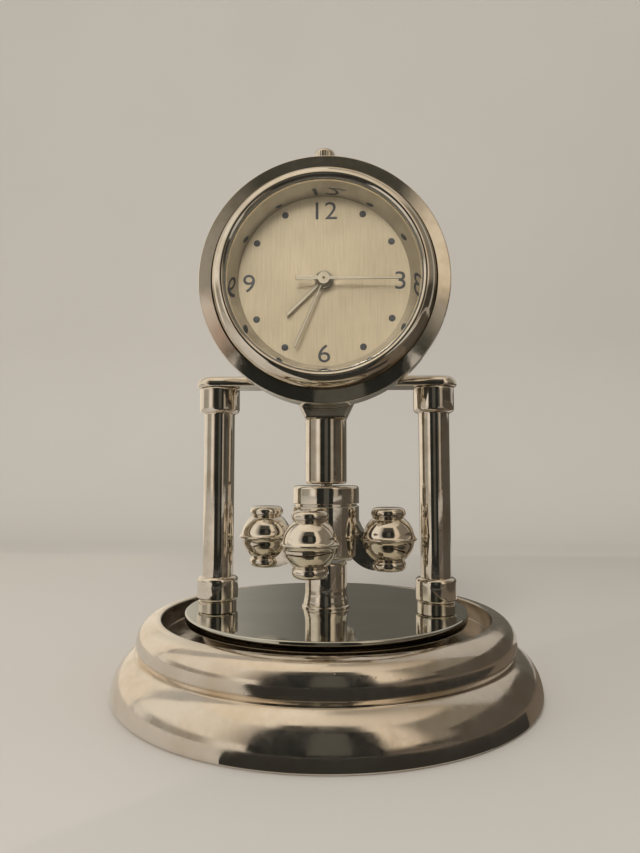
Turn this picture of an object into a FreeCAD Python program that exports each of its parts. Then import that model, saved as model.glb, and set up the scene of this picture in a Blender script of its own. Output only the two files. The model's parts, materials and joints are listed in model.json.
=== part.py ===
import FreeCAD, Part
import math
import os

import Sketcher

# A miniature desk clock in the style of an anniversary clock: a watch-sized quartz head on a
# two-tier round base, held by a pair of columns and a crossbar, over a pendulum of four balls
# that turns on a spindle between two short centre posts.
# Frame: origin at the centre of the underside, +Z up, the dial faces -Y. Millimetres.

DRIVING_DIMENSIONS = {
    # base
    "base_radius": 26.65,
    "base_foot_radius": 26.14,
    "base_foot_round": 0.88,
    "base_widest_height": 0.8,
    "lower_tier_round": 4.73,
    "crease_radius": 24.0,
    "crease_height": 5.05,
    "crease_width": 0.6,
    "crease_round": 2.6,
    "upper_tier_radius": 23.8,
    "upper_tier_middle": 6.5,
    "upper_tier_round": 2.48,
    "recess_radius": 20.83,
    "rim_height": 8.98,
    "rim_width": 0.5,
    "rim_round": 0.25,
    "recess_floor": 6.6,
    "disc_seat_radius": 15.8,
    "disc_seat_height": 8.34,
    "shell_ceiling": 4.9,
    "shell_hollow_round": 3.8,
    "pad_radius": 24.5,
    "pad_thickness": 1.0,
    "disc_radius": 18.06,
    "disc_top": 9.54,
    # columns
    "column_spacing": 28.54,
    "column_radius": 2.0,
    "ferrule_radius": 2.65,
    "ferrule_bottom": 34.75,
    "ferrule_lip": 0.5,
    "tube_seat": 0.75,
    "foot_ferrule_radius": 2.65,
    "foot_ferrule_bottom": 10.3,
    "foot_ferrule_top": 13.4,
    "foot_ring_radius": 2.46,
    "edge_round": 0.35,
    "rod_radius": 0.8,
    "rod_clearance": 0.05,
    "rod_bottom": 3.0,
    "rod_socket": 0.8,
    "nut_across_corners": 3.7,
    "nut_height": 1.3,
    "washer_radius": 1.9,
    "washer_thickness": 0.3,
    # crossbar and neck
    "bar_bottom": 38.15,
    "bar_thickness": 1.5,
    "bar_half_length": 17.25,
    "bar_half_width": 2.5,
    "bar_corner": 2.2,
    "bar_edge_round": 0.7,
    "neck_bottom": 33.9,
    "neck_bottom_half": 2.65,
    "neck_top_half": 4.73,
    "neck_bevel": 0.3,
    "screw_radius": 0.6,
    "screw_head_radius": 1.05,
    "screw_head_height": 0.55,
    "screw_slot_depth": 0.25,
    "screw_slot_width": 0.26,
    "neck_screw_depth": 1.3,
    "case_screw_tip": -4.8,
    "case_screw_offset": 2.6,
    "case_screw_height": 37.0,
    # centre posts and pendulum
    "post_radius": 2.73,
    "post_foot_radius": 2.97,
    "post_foot_lip": 0.15,
    "post_foot_flare": 8.0,
    "post_screw_depth": 1.9,
    "lower_post_top": 15.35,
    "upper_post_bottom": 25.4,
    "spigot_radius": 1.2,
    "spigot_length": 2.2,
    "spindle_bottom": 12.2,
    "spindle_top": 28.5,
    "thrust_washer_radius": 2.2,
    "thrust_washer_gap": 0.06,
    "drum_radius": 4.35,
    "drum_bottom": 16.0,
    "drum_top": 22.55,
    "cap_radius": 4.35,
    "cap_top": 25.2,
    "cap_groove": 0.3,
    "ball_orbit": 8.25,
    "ball_height": 18.4,
    "ball_radius": 3.32,
    "ball_flange_radius": 3.62,
    "ball_flange_half": 0.5,
    "ball_flange_edge": 0.1,
    "button_radius": 1.45,
    "button_bulge": 0.75,
    "button_seat_radius": 1.95,
    "button_seat_height": 2.7,
    "ball_half_height": 4.03,
    "pendulum_turn": -11.3,
    "arm_thickness": 2.4,
    "arm_top": 20.45,
    "arm_belly": 4.3,
    "arm_root": 0.85,
    # head
    "head_height": 50.8,
    "case_radius": 15.6,
    "case_back_face": -2.6,
    "case_joint": -6.9,
    "case_wall": 0.9,
    "case_pocket_radius": 12.9,
    "case_opening_radius": 10.9,
    "case_back_rise": 0.35,
    "spigot_seat_radius": 13.4,
    "spigot_depth": 0.7,
    "bezel_face": -7.9,
    "bezel_ridge_radius": 13.86,
    "bezel_ridge_face": -10.0,
    "glass_edge_radius": 12.05,
    "crystal_radius": 11.85,
    "crystal_front": -9.75,
    "crystal_back": -9.2,
    "rehaut_front": -8.95,
    "rehaut_front_radius": 11.72,
    "rehaut_radius": 12.6,
    "dial_window_radius": 10.75,
    "dial_face": -6.57,
    "dial_thickness": 0.4,
    "dial_radius": 12.5,
    # movement
    "movement_front": -6.15,
    "movement_back": -3.6,
    "movement_half_width": 7.6,
    "movement_half_height": 8.9,
    "holder_radius": 12.8,
    "fit_gap": 0.05,
    "hour_tube_radius": 0.75,
    "cannon_radius": 0.45,
    "seconds_radius": 0.15,
    "cell_radius": 3.4,
    "cell_thickness": 2.1,
    "stem_depth": -4.6,
    "stem_radius": 0.45,
    "stem_neck_radius": 0.26,
    "stem_bottom": 7.2,
    "fork_height": 8.0,
    "fork_thickness": 0.2,
    "crown_radius": 1.4,
    "crown_bottom": 15.9,
    "crown_top": 17.8,
    "crown_bore_depth": 1.2,
    "crown_flute_radius": 0.07,
    # hands
    "hour_hand_length": 6.55,
    "minute_hand_length": 9.4,
    "second_hand_length": 9.6,
    "second_hand_tail": 3.48,
    "hand_thickness": 0.12,
    "hour_hand_plane": -7.0,
    "minute_hand_plane": -7.35,
    "second_hand_plane": -7.75,
    "hour_hand_angle": 226.1,
    "minute_hand_angle": 203.0,
    "second_hand_angle": 90.7,
}

# An edge shorter than this along an axis runs square to that axis.
FLAT = 0.01

doc = FreeCAD.newDocument("desk_clock")
sheet = doc.addObject("Spreadsheet::Sheet", "Sizes")
sub_parts = []


class Dim:
    """A dimension: its value now, and the formula that gives it from the sheet's cells."""

    def __init__(self, value, formula):
        self.value = value
        self.formula = formula

    def __add__(self, other):
        other = dim(other)
        return Dim(self.value + other.value, f"({self.formula} + {other.formula})")

    def __sub__(self, other):
        other = dim(other)
        return Dim(self.value - other.value, f"({self.formula} - {other.formula})")

    def __mul__(self, factor):
        return Dim(self.value * factor, f"({self.formula} * {factor})")

    def __neg__(self):
        return Dim(-self.value, f"(-{self.formula})")


def dim(number):
    """A Dim as it is, or a plain number as a Dim."""
    if isinstance(number, Dim):
        return number
    return Dim(float(number), f"({float(number)})")


class Sizes:
    """The driving dimensions by name, each bound to its own cell of the sheet."""

    def __init__(self, table):
        for row, (alias, value) in enumerate(table.items(), start=1):
            sheet.set(f"A{row}", alias.replace("_", " "))
            sheet.set(f"B{row}", str(value))
            sheet.setAlias(f"B{row}", alias)
            setattr(self, alias, Dim(value, f"Sizes.{alias}"))


size = Sizes(DRIVING_DIMENSIONS)
doc.recompute()


# ---------------------------------------------------------------- sketches and features

def origin_plane(body, role):
    """One of the body's own origin planes, such as XZ_Plane."""
    return next(item for item in body.Origin.OriginFeatures if item.Role == role)


def new_sketch(body, name, role, lift=0):
    """An empty sketch on one of the body's origin planes, lifted along the plane's normal."""
    sketch = body.newObject("Sketcher::SketchObject", name)
    sketch.AttachmentSupport = (origin_plane(body, role), "")
    sketch.MapMode = "FlatFace"
    lift = dim(lift)
    sketch.AttachmentOffset = FreeCAD.Placement(FreeCAD.Vector(0, 0, lift.value), FreeCAD.Rotation())
    if lift.value:
        sketch.setExpression("AttachmentOffset.Base.z", lift.formula)
    return sketch


def pin_coordinate(sketch, kind, axis, geometry, point, place):
    """Hold one coordinate of a sketch point at a dimension, from the sketch's origin."""
    if place.value == 0:
        sketch.addConstraint(Sketcher.Constraint("PointOnObject", geometry, point, axis))
        return
    if place.value > 0:
        ends = (-1, 1, geometry, point)
    else:
        ends = (geometry, point, -1, 1)
        place = -place
    index = sketch.addConstraint(Sketcher.Constraint(kind, *ends, place.value))
    sketch.setExpression(f"Constraints[{index}]", place.formula)


def pin_point(sketch, geometry, point, place_x, place_y):
    """Hold a sketch point at two dimensions from the sketch's origin."""
    vertical_axis, horizontal_axis = -2, -1
    pin_coordinate(sketch, "DistanceX", vertical_axis, geometry, point, place_x)
    pin_coordinate(sketch, "DistanceY", horizontal_axis, geometry, point, place_y)


def arc_between(start, end, radius):
    """The short arc from start to end. A positive radius has its centre on the left."""
    chord = end - start
    half = chord.Length / 2
    rise = math.sqrt(max(radius * radius - half * half, 0.0))
    left = FreeCAD.Vector(-chord.y, chord.x, 0).normalize()
    centre = start + chord * 0.5 + left * math.copysign(rise, radius)
    first, last = (start, end) if radius > 0 else (end, start)
    angles = [math.atan2(point.y - centre.y, point.x - centre.x) for point in (first, last)]
    circle = Part.Circle(centre, FreeCAD.Vector(0, 0, 1), abs(radius))
    return Part.ArcOfCircle(circle, angles[0], angles[1])


def draw_outline(sketch, corners):
    """A closed outline, counter-clockwise. A corner is (x, y), or (x, y, radius) where the side
    that leaves it is an arc: the radius is positive where the outline bulges outwards."""
    corners = [tuple(dim(item) for item in corner) for corner in corners]
    points = [FreeCAD.Vector(corner[0].value, corner[1].value, 0) for corner in corners]
    sides = []
    for number, corner in enumerate(corners):
        start, end = points[number], points[(number + 1) % len(points)]
        if len(corner) == 2:
            side, start_point, end_point = sketch.addGeometry(Part.LineSegment(start, end)), 1, 2
        else:
            side = sketch.addGeometry(arc_between(start, end, corner[2].value))
            start_point, end_point = (1, 2) if corner[2].value > 0 else (2, 1)
        sides.append((side, start_point, end_point))
    for number, corner in enumerate(corners):
        side, start_point, _ = sides[number]
        before, _, end_before = sides[number - 1]
        sketch.addConstraint(Sketcher.Constraint("Coincident", before, end_before, side, start_point))
        pin_point(sketch, side, start_point, corner[0], corner[1])
        if len(corner) == 3:
            radius = corner[2] if corner[2].value > 0 else -corner[2]
            index = sketch.addConstraint(Sketcher.Constraint("Radius", side, radius.value))
            sketch.setExpression(f"Constraints[{index}]", radius.formula)


def draw_circle(sketch, place_x, place_y, radius):
    """A circle whose centre and radius are held by dimensions."""
    place_x, place_y, radius = dim(place_x), dim(place_y), dim(radius)
    centre = FreeCAD.Vector(place_x.value, place_y.value, 0)
    circle = sketch.addGeometry(Part.Circle(centre, FreeCAD.Vector(0, 0, 1), radius.value))
    pin_point(sketch, circle, 3, place_x, place_y)
    index = sketch.addConstraint(Sketcher.Constraint("Radius", circle, radius.value))
    sketch.setExpression(f"Constraints[{index}]", radius.formula)


def rectangle(low_x, low_y, high_x, high_y):
    """The four corners of a rectangle, counter-clockwise."""
    return [(low_x, low_y), (high_x, low_y), (high_x, high_y), (low_x, high_y)]


def new_body(label, is_sub_part=True):
    """An empty body, which becomes a sub-part unless a group of copies takes it in."""
    body = doc.addObject("PartDesign::Body", label)
    body.Label = label
    if is_sub_part:
        sub_parts.append(body)
    return body


def turned(label, outline, role="XZ_Plane", axis="V_Axis", is_sub_part=True):
    """A body turned from half a section. The upright pieces turn about Z."""
    body = new_body(label, is_sub_part)
    sketch = new_sketch(body, f"{label}_section", role)
    draw_outline(sketch, outline)
    revolution = body.newObject("PartDesign::Revolution", f"{label}_turning")
    revolution.Profile = sketch
    revolution.ReferenceAxis = (sketch, [axis])
    revolution.Angle = 360
    doc.recompute()
    return body


def turned_in_head(label, outline):
    """A body turned about the dial's axis, from (depth, radius) corners, then lifted to it."""
    body = turned(label, outline, role="YZ_Plane", axis="H_Axis")
    lift_to_head(body)
    return body


def lift_to_head(part):
    """Place a piece that is drawn about the dial's axis at the height of the head."""
    part.setExpression("Placement.Base.z", size.head_height.formula)


def add_pad(body, name, role, lift, length, draw, reverse=False):
    """Pad a sketch by a dimension, along its plane's normal or against it."""
    sketch = new_sketch(body, f"{name}_sketch", role, lift)
    draw(sketch)
    pad = body.newObject("PartDesign::Pad", name)
    pad.Profile = sketch
    pad.Reversed = reverse
    length = dim(length)
    pad.Length = length.value
    pad.setExpression("Length", length.formula)
    doc.recompute()
    return pad


def add_pocket(body, name, role, lift, depth, draw, reverse=False):
    """Cut a sketch into the body against its plane's normal, and make sure that it cut."""
    volume = body.Shape.Volume
    sketch = new_sketch(body, f"{name}_sketch", role, lift)
    draw(sketch)
    pocket = body.newObject("PartDesign::Pocket", name)
    pocket.Profile = sketch
    pocket.Reversed = reverse
    depth = dim(depth)
    pocket.Length = depth.value
    pocket.setExpression("Length", depth.formula)
    doc.recompute()
    if body.Shape.Volume >= volume:
        raise RuntimeError(f"{name} cuts nothing")
    return pocket


def runs_in_depth(box):
    """Whether an edge with this bounding box runs from front to back."""
    return box.XLength < FLAT and box.ZLength < FLAT


def dress(body, kind, name, reach, chooses):
    """Fillet or chamfer the edges of the body whose bounding boxes chooses() picks."""
    base = body.Tip
    picked = [f"Edge{number}" for number, edge in enumerate(base.Shape.Edges, start=1)
              if chooses(edge.BoundBox)]
    feature = body.newObject(f"PartDesign::{kind}", name)
    feature.Base = (base, picked)
    reach_name = {"Fillet": "Radius", "Chamfer": "Size"}[kind]
    setattr(feature, reach_name, reach.value)
    feature.setExpression(reach_name, reach.formula)
    doc.recompute()


def cylinder(name, radius, bottom, top):
    """An upright Part cylinder between two heights."""
    shape = doc.addObject("Part::Cylinder", name)
    bottom = dim(bottom)
    shape.setExpression("Radius", dim(radius).formula)
    shape.setExpression("Height", (dim(top) - bottom).formula)
    shape.setExpression("Placement.Base.z", bottom.formula)
    return shape


def cut(name, base, tool):
    """One Part shape less another."""
    shape = doc.addObject("Part::Cut", name)
    shape.Base = base
    shape.Tool = tool
    return shape


def mirrored_pair(label, original):
    """A fastener and its mirror image across the middle of the clock, in one sub-part."""
    mirror = doc.addObject("Part::Mirroring", f"{label}_mirrored")
    mirror.Source = original
    mirror.Base = FreeCAD.Vector(0, 0, 0)
    mirror.Normal = FreeCAD.Vector(1, 0, 0)
    pair = doc.addObject("Part::Compound", label)
    pair.Label = label
    pair.Links = [original, mirror]
    sub_parts.append(pair)
    return pair


# ---------------------------------------------------------------- base

column_place = size.column_spacing * 0.5
rod_hole = size.rod_radius + size.rod_clearance
disc_seat = size.disc_seat_height


def draw_rod_holes(sketch):
    """The two holes that the tie rods pass through."""
    draw_circle(sketch, column_place, 0, rod_hole)
    draw_circle(sketch, -column_place, 0, rod_hole)


def make_base_shell():
    """Hollow casting: two rounded tiers, a round recess in the top and a seat for the disc."""
    rim, lip, edge = size.rim_height, size.recess_radius, size.rim_round
    ceiling, ledge = size.shell_ceiling, size.pad_thickness
    pad_seat = size.pad_radius + 0.1
    shell = turned("base_shell", [
        (pad_seat, 0),
        (size.base_foot_radius, 0, size.base_foot_round),
        (size.base_radius, size.base_widest_height, size.lower_tier_round),
        (size.crease_radius, size.crease_height),
        (size.crease_radius - size.crease_width, size.crease_height, size.crease_round),
        (size.upper_tier_radius, size.upper_tier_middle, size.upper_tier_round),
        (lip + size.rim_width, rim),
        (lip + edge, rim, edge),
        (lip, rim - edge),
        (lip, size.recess_floor),
        (size.disc_seat_radius, size.recess_floor),
        (size.disc_seat_radius, disc_seat),
        (rod_hole, disc_seat),
        (rod_hole, ceiling),
        (lip + size.rim_width, ceiling),
        (lip + size.rim_width + 1.1, ceiling - 1.0, -size.shell_hollow_round),
        (pad_seat - ledge * 0.5, ledge),
        (pad_seat, ledge),
    ])
    add_pocket(shell, "base_rod_holes", "XY_Plane", 0, disc_seat, draw_rod_holes, reverse=True)


def make_felt_pad():
    """Felt disc glued into the underside, flush with the foot of the shell."""
    pad = cylinder("felt_pad", size.pad_radius, 0, size.pad_thickness)
    pad.Label = "felt_pad"
    sub_parts.append(pad)


def make_mirror_disc():
    """Polished disc that the posts and columns stand on."""
    bevel = 0.18
    disc = turned("mirror_disc", [
        (rod_hole, disc_seat),
        (size.disc_radius - bevel, disc_seat),
        (size.disc_radius, disc_seat + bevel),
        (size.disc_radius, size.disc_top - bevel),
        (size.disc_radius - bevel, size.disc_top),
        (rod_hole, size.disc_top),
    ])
    add_pocket(disc, "disc_rod_holes", "XY_Plane", 0, size.disc_top, draw_rod_holes, reverse=True)


# ---------------------------------------------------------------- columns and crossbar

def make_column(side, sign):
    """One column: a tube held between a top ferrule and a foot ferrule on a small ring."""
    outer, bore, edge = size.column_radius, rod_hole, size.edge_round
    lip = size.ferrule_lip
    tube_bottom = size.foot_ferrule_bottom + size.tube_seat
    tube_top = size.bar_bottom - size.tube_seat
    tube = turned(f"column_tube_{side}", [
        (bore, tube_bottom),
        (outer, tube_bottom),
        (outer, tube_top),
        (bore, tube_top),
    ])
    top = turned(f"column_top_ferrule_{side}", [
        (bore, tube_top),
        (outer, tube_top),
        (outer, size.ferrule_bottom),
        (size.ferrule_radius - lip, size.ferrule_bottom, lip),
        (size.ferrule_radius, size.ferrule_bottom + lip),
        (size.ferrule_radius, size.bar_bottom - edge, edge),
        (size.ferrule_radius - edge, size.bar_bottom),
        (bore, size.bar_bottom),
    ])
    foot = turned(f"column_foot_ferrule_{side}", [
        (bore, size.disc_top),
        (size.foot_ring_radius, size.disc_top),
        (size.foot_ring_radius, size.foot_ferrule_bottom),
        (size.foot_ferrule_radius - edge, size.foot_ferrule_bottom, edge),
        (size.foot_ferrule_radius, size.foot_ferrule_bottom + edge),
        (size.foot_ferrule_radius, size.foot_ferrule_top - edge, edge),
        (size.foot_ferrule_radius - edge, size.foot_ferrule_top),
        (outer, size.foot_ferrule_top),
        (outer, tube_bottom),
        (bore, tube_bottom),
    ])
    for piece in (tube, top, foot):
        piece.setExpression("Placement.Base.x", (column_place * sign).formula)


def make_tie_rods():
    """Threaded rods through the columns, with nuts and washers under the shell's ceiling."""
    washer_bottom = size.shell_ceiling - size.washer_thickness
    nut_bottom = washer_bottom - size.nut_height
    rod = cylinder("tie_rod", size.rod_radius, size.rod_bottom, size.bar_bottom + size.rod_socket)
    washer = cut(
        "tie_rod_washer",
        cylinder("washer_disc", size.washer_radius, washer_bottom, size.shell_ceiling),
        cylinder("washer_hole", rod_hole, washer_bottom, size.shell_ceiling),
    )
    hexagon = doc.addObject("Part::Prism", "nut_hexagon")
    hexagon.Polygon = 6
    hexagon.setExpression("Circumradius", (size.nut_across_corners * 0.5).formula)
    hexagon.setExpression("Height", size.nut_height.formula)
    hexagon.setExpression("Placement.Base.z", nut_bottom.formula)
    thread = cylinder("nut_thread", size.rod_radius, nut_bottom, washer_bottom)
    nut = cut("tie_rod_nut", hexagon, thread)
    for piece in (rod, washer, nut):
        piece.setExpression("Placement.Base.x", column_place.formula)
    mirrored_pair("tie_rods", rod)
    mirrored_pair("tie_rod_washers", washer)
    mirrored_pair("tie_rod_nuts", nut)


def make_crossbar():
    """Flat bar with rounded corners that joins the tops of the columns behind the head."""
    end, front, corner = size.bar_half_length, size.bar_half_width, size.bar_corner
    bar = new_body("crossbar")

    def draw_bar(sketch):
        draw_outline(sketch, [
            (-end + corner, -front),
            (end - corner, -front, corner),
            (end, -front + corner),
            (end, front - corner, corner),
            (end - corner, front),
            (-end + corner, front, corner),
            (-end, front - corner),
            (-end, -front + corner, corner),
        ])

    def draw_rod_sockets(sketch):
        draw_circle(sketch, column_place, 0, size.rod_radius)
        draw_circle(sketch, -column_place, 0, size.rod_radius)

    add_pad(bar, "bar_blank", "XY_Plane", size.bar_bottom, size.bar_thickness, draw_bar)
    dress(bar, "Fillet", "bar_edges", size.bar_edge_round, lambda box: box.ZLength < FLAT)
    add_pocket(bar, "rod_sockets", "XY_Plane", size.bar_bottom, size.rod_socket, draw_rod_sockets,
               reverse=True)
    add_pocket(bar, "neck_screw_hole", "XY_Plane", size.bar_bottom, size.bar_thickness,
               lambda sketch: draw_circle(sketch, 0, 0, size.screw_radius), reverse=True)


def make_neck_block():
    """Bevelled wedge under the crossbar: the case bolts to its front, the post screws into it."""
    front = -size.case_back_face
    depth = front + size.bar_half_width
    low, high = size.neck_bottom_half, size.neck_top_half
    neck = new_body("neck_block")
    add_pad(neck, "neck_blank", "XZ_Plane", front, depth, lambda sketch: draw_outline(
        sketch, [
            (-low, size.neck_bottom),
            (low, size.neck_bottom),
            (high, size.bar_bottom),
            (-high, size.bar_bottom),
        ]), reverse=True)
    dress(neck, "Chamfer", "neck_bevels", size.neck_bevel,
          lambda box: box.ZLength > 1 and box.YLength < FLAT)

    def draw_case_screws(radius):
        def draw(sketch):
            draw_circle(sketch, size.case_screw_offset, size.case_screw_height, radius)
            draw_circle(sketch, -size.case_screw_offset, size.case_screw_height, radius)
        return draw

    add_pocket(neck, "post_socket", "XY_Plane", size.neck_bottom, size.spigot_length,
               lambda sketch: draw_circle(sketch, 0, 0, size.spigot_radius), reverse=True)
    add_pocket(neck, "neck_screw_socket", "XY_Plane", size.bar_bottom, size.neck_screw_depth + 0.1,
               lambda sketch: draw_circle(sketch, 0, 0, size.screw_radius))
    add_pocket(neck, "case_screw_holes", "XZ_Plane", front, depth,
               draw_case_screws(size.screw_radius))
    add_pocket(neck, "case_screw_seats", "XZ_Plane", -size.bar_half_width, size.screw_head_height,
               draw_case_screws(size.screw_head_radius + size.fit_gap), reverse=True)


def screw_outline(head_face, head_back, tip):
    """Half section of a screw along its axis: head from head_face to head_back, shank to tip."""
    return [
        (0, tip),
        (size.screw_radius, tip),
        (size.screw_radius, head_back),
        (size.screw_head_radius, head_back),
        (size.screw_head_radius, head_face),
        (0, head_face),
    ]


def make_neck_screws():
    """The screw that holds the neck to the crossbar, and the pair that holds the case."""
    slot_end = size.screw_head_radius + 0.15
    slot_side = size.screw_slot_width * 0.5

    def draw_slot(sketch):
        draw_outline(sketch, rectangle(-slot_end, -slot_side, slot_end, slot_side))

    bar_top = size.bar_bottom + size.bar_thickness
    head_top = bar_top + size.screw_head_height
    screw = turned("neck_screw", screw_outline(head_top, bar_top, size.bar_bottom - size.neck_screw_depth))
    add_pocket(screw, "neck_screw_slot", "XY_Plane", head_top, size.screw_slot_depth, draw_slot)
    rear = size.bar_half_width
    case_screw = turned("case_screw", screw_outline(rear, rear - size.screw_head_height,
                                                    size.case_screw_tip), is_sub_part=False)
    add_pocket(case_screw, "case_screw_slot", "XY_Plane", rear, size.screw_slot_depth, draw_slot)
    case_screw.Placement = FreeCAD.Placement(
        FreeCAD.Vector(size.case_screw_offset.value, 0, size.case_screw_height.value),
        FreeCAD.Rotation(FreeCAD.Vector(1, 0, 0), -90))
    case_screw.setExpression("Placement.Base.x", size.case_screw_offset.formula)
    case_screw.setExpression("Placement.Base.z", size.case_screw_height.formula)
    mirrored_pair("case_screws", case_screw)


# ---------------------------------------------------------------- centre posts and pendulum

def make_centre_posts():
    """Lower post on the disc, upper post under the neck, and the spindle between them."""
    post, foot, edge = size.post_radius, size.post_foot_radius, size.edge_round
    screw_depth = size.disc_top + size.post_screw_depth
    foot_lip = foot + size.post_foot_lip
    turned("lower_post", [
        (size.rod_radius, size.disc_top),
        (foot_lip, size.disc_top),
        (foot_lip, size.disc_top + 0.3),
        (foot, size.disc_top + 0.35, -size.post_foot_flare),
        (post, screw_depth),
        (post, size.lower_post_top - edge, edge),
        (post - edge, size.lower_post_top),
        (size.rod_radius, size.lower_post_top),
        (size.rod_radius, size.spindle_bottom),
        (0, size.spindle_bottom),
        (0, screw_depth),
        (size.rod_radius, screw_depth),
    ])
    turned("upper_post", [
        (size.rod_radius, size.upper_post_bottom),
        (post - edge, size.upper_post_bottom, edge),
        (post, size.upper_post_bottom + edge),
        (post, size.neck_bottom),
        (size.spigot_radius, size.neck_bottom),
        (size.spigot_radius, size.neck_bottom + size.spigot_length),
        (0, size.neck_bottom + size.spigot_length),
        (0, size.spindle_top),
        (size.rod_radius, size.spindle_top),
    ])
    head_bottom = size.shell_ceiling - 1.0
    head = size.rod_radius * 2
    slot_end, slot_side = head + 0.2, 0.2
    screw = turned("lower_post_screw", [
        (0, head_bottom),
        (head, head_bottom),
        (head, size.shell_ceiling),
        (size.rod_radius, size.shell_ceiling),
        (size.rod_radius, screw_depth),
        (0, screw_depth),
    ])
    add_pocket(screw, "lower_post_screw_slot", "XY_Plane", head_bottom, slot_side * 2,
               lambda sketch: draw_outline(sketch, rectangle(-slot_end, -slot_side, slot_end, slot_side)),
               reverse=True)
    spindle = cylinder("pendulum_spindle", size.rod_radius, size.spindle_bottom, size.spindle_top)
    spindle.Label = "pendulum_spindle"
    sub_parts.append(spindle)
    washer_top = size.drum_bottom - size.thrust_washer_gap
    turned("thrust_washer", [
        (rod_hole, size.lower_post_top),
        (size.thrust_washer_radius, size.lower_post_top),
        (size.thrust_washer_radius, washer_top),
        (rod_hole, washer_top),
    ])


def make_pendulum_hub():
    """Drum that turns on the spindle, with a cap above a thin groove."""
    radius, edge, groove = size.drum_radius, size.edge_round, size.cap_groove
    neck = size.cap_radius - groove
    cap_bottom = size.drum_top + groove
    bevel = groove * 0.5
    turned("pendulum_drum", [
        (rod_hole, size.drum_bottom),
        (radius - edge, size.drum_bottom, edge),
        (radius, size.drum_bottom + edge),
        (radius, size.drum_top - bevel),
        (radius - bevel, size.drum_top),
        (neck, size.drum_top),
        (neck, cap_bottom),
        (rod_hole, cap_bottom),
    ])
    turned("pendulum_cap", [
        (rod_hole, cap_bottom),
        (size.cap_radius - bevel, cap_bottom),
        (size.cap_radius, cap_bottom + bevel),
        (size.cap_radius, size.cap_top - edge, edge),
        (size.cap_radius - edge, size.cap_top),
        (rod_hole, size.cap_top),
    ])


def make_pendulum_ball(label, turn):
    """Ball with a sharp flange round its middle, a button above and below, and an arm that
    is cast with it and hugs the drum. It is drawn with the arm towards -X."""
    middle, flange = size.ball_height, size.ball_flange_radius
    radius, button, bulge = size.ball_radius, size.button_radius, size.button_bulge
    seat, rise = size.button_seat_radius, size.button_seat_height
    top = middle + size.ball_half_height
    bottom = middle - size.ball_half_height
    shoulder, flange_half, flange_edge = radius - 0.02, size.ball_flange_half, size.ball_flange_edge
    ball = turned(label, [
        (0, bottom),
        (button, bottom, bulge),
        (seat, middle - rise, radius),
        (shoulder, middle - flange_half),
        (flange, middle - flange_edge),
        (flange, middle + flange_edge),
        (shoulder, middle + flange_half, radius),
        (seat, middle + rise, bulge),
        (button, top),
        (0, top),
    ])
    orbit, drum = size.ball_orbit, size.drum_radius
    drum_side = -orbit + drum
    inside_drum = drum_side - size.arm_root
    inside_ball = dim(-1.0)
    arm_bottom = bottom + 0.05

    def draw_arm(sketch):
        draw_outline(sketch, [
            (inside_drum, size.drum_bottom + 0.2, size.arm_belly),
            (-button - 0.3, arm_bottom),
            (inside_ball, arm_bottom),
            (inside_ball, middle + 0.5),
            (-radius + 0.25, middle + 0.75),
            (drum_side - 0.1, size.arm_top),
            (inside_drum, size.arm_top),
        ])

    add_pad(ball, f"{label}_arm", "XZ_Plane", size.arm_thickness * 0.5, size.arm_thickness, draw_arm,
            reverse=True)
    add_pocket(ball, f"{label}_drum_seat", "XY_Plane", size.drum_bottom, size.ball_half_height * 2,
               lambda sketch: draw_circle(sketch, -orbit, 0, drum), reverse=True)
    ball.Placement.Rotation = FreeCAD.Rotation(FreeCAD.Vector(0, 0, 1), turn.value)
    ball.setExpression("Placement.Rotation.Angle", f"{turn.formula} * 1 deg")
    ball.setExpression("Placement.Base.x", f"{orbit.formula} * cos({turn.formula} * 1 deg)")
    ball.setExpression("Placement.Base.y", f"{orbit.formula} * sin({turn.formula} * 1 deg)")


# ---------------------------------------------------------------- head

def make_case():
    """Round case: open in front for the movement, with a smaller opening behind."""
    wall = size.case_back_face - size.case_wall
    edge = 0.4
    spigot_end = size.case_joint + size.spigot_depth
    case = turned_in_head("case_body", [
        (wall, size.case_opening_radius),
        (size.case_back_face, size.case_opening_radius),
        (size.case_back_face, size.case_radius - edge, edge),
        (size.case_back_face - edge, size.case_radius),
        (size.case_joint, size.case_radius),
        (size.case_joint, size.spigot_seat_radius),
        (spigot_end, size.spigot_seat_radius),
        (spigot_end, size.case_pocket_radius),
        (wall, size.case_pocket_radius),
    ])
    wall_depth = size.case_radius - size.case_pocket_radius
    add_pocket(case, "stem_hole", "XY_Plane", size.case_pocket_radius - 1, wall_depth + 2,
               lambda sketch: draw_circle(sketch, 0, size.stem_depth, size.stem_radius + size.fit_gap),
               reverse=True)
    screw_drop = size.case_screw_height - size.head_height
    thread_depth = size.case_back_face - size.case_screw_tip + 0.1

    def draw_screw_holes(sketch):
        draw_circle(sketch, size.case_screw_offset, screw_drop, size.screw_radius)
        draw_circle(sketch, -size.case_screw_offset, screw_drop, size.screw_radius)

    add_pocket(case, "case_screw_threads", "XZ_Plane", -size.case_back_face, thread_depth,
               draw_screw_holes, reverse=True)


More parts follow.
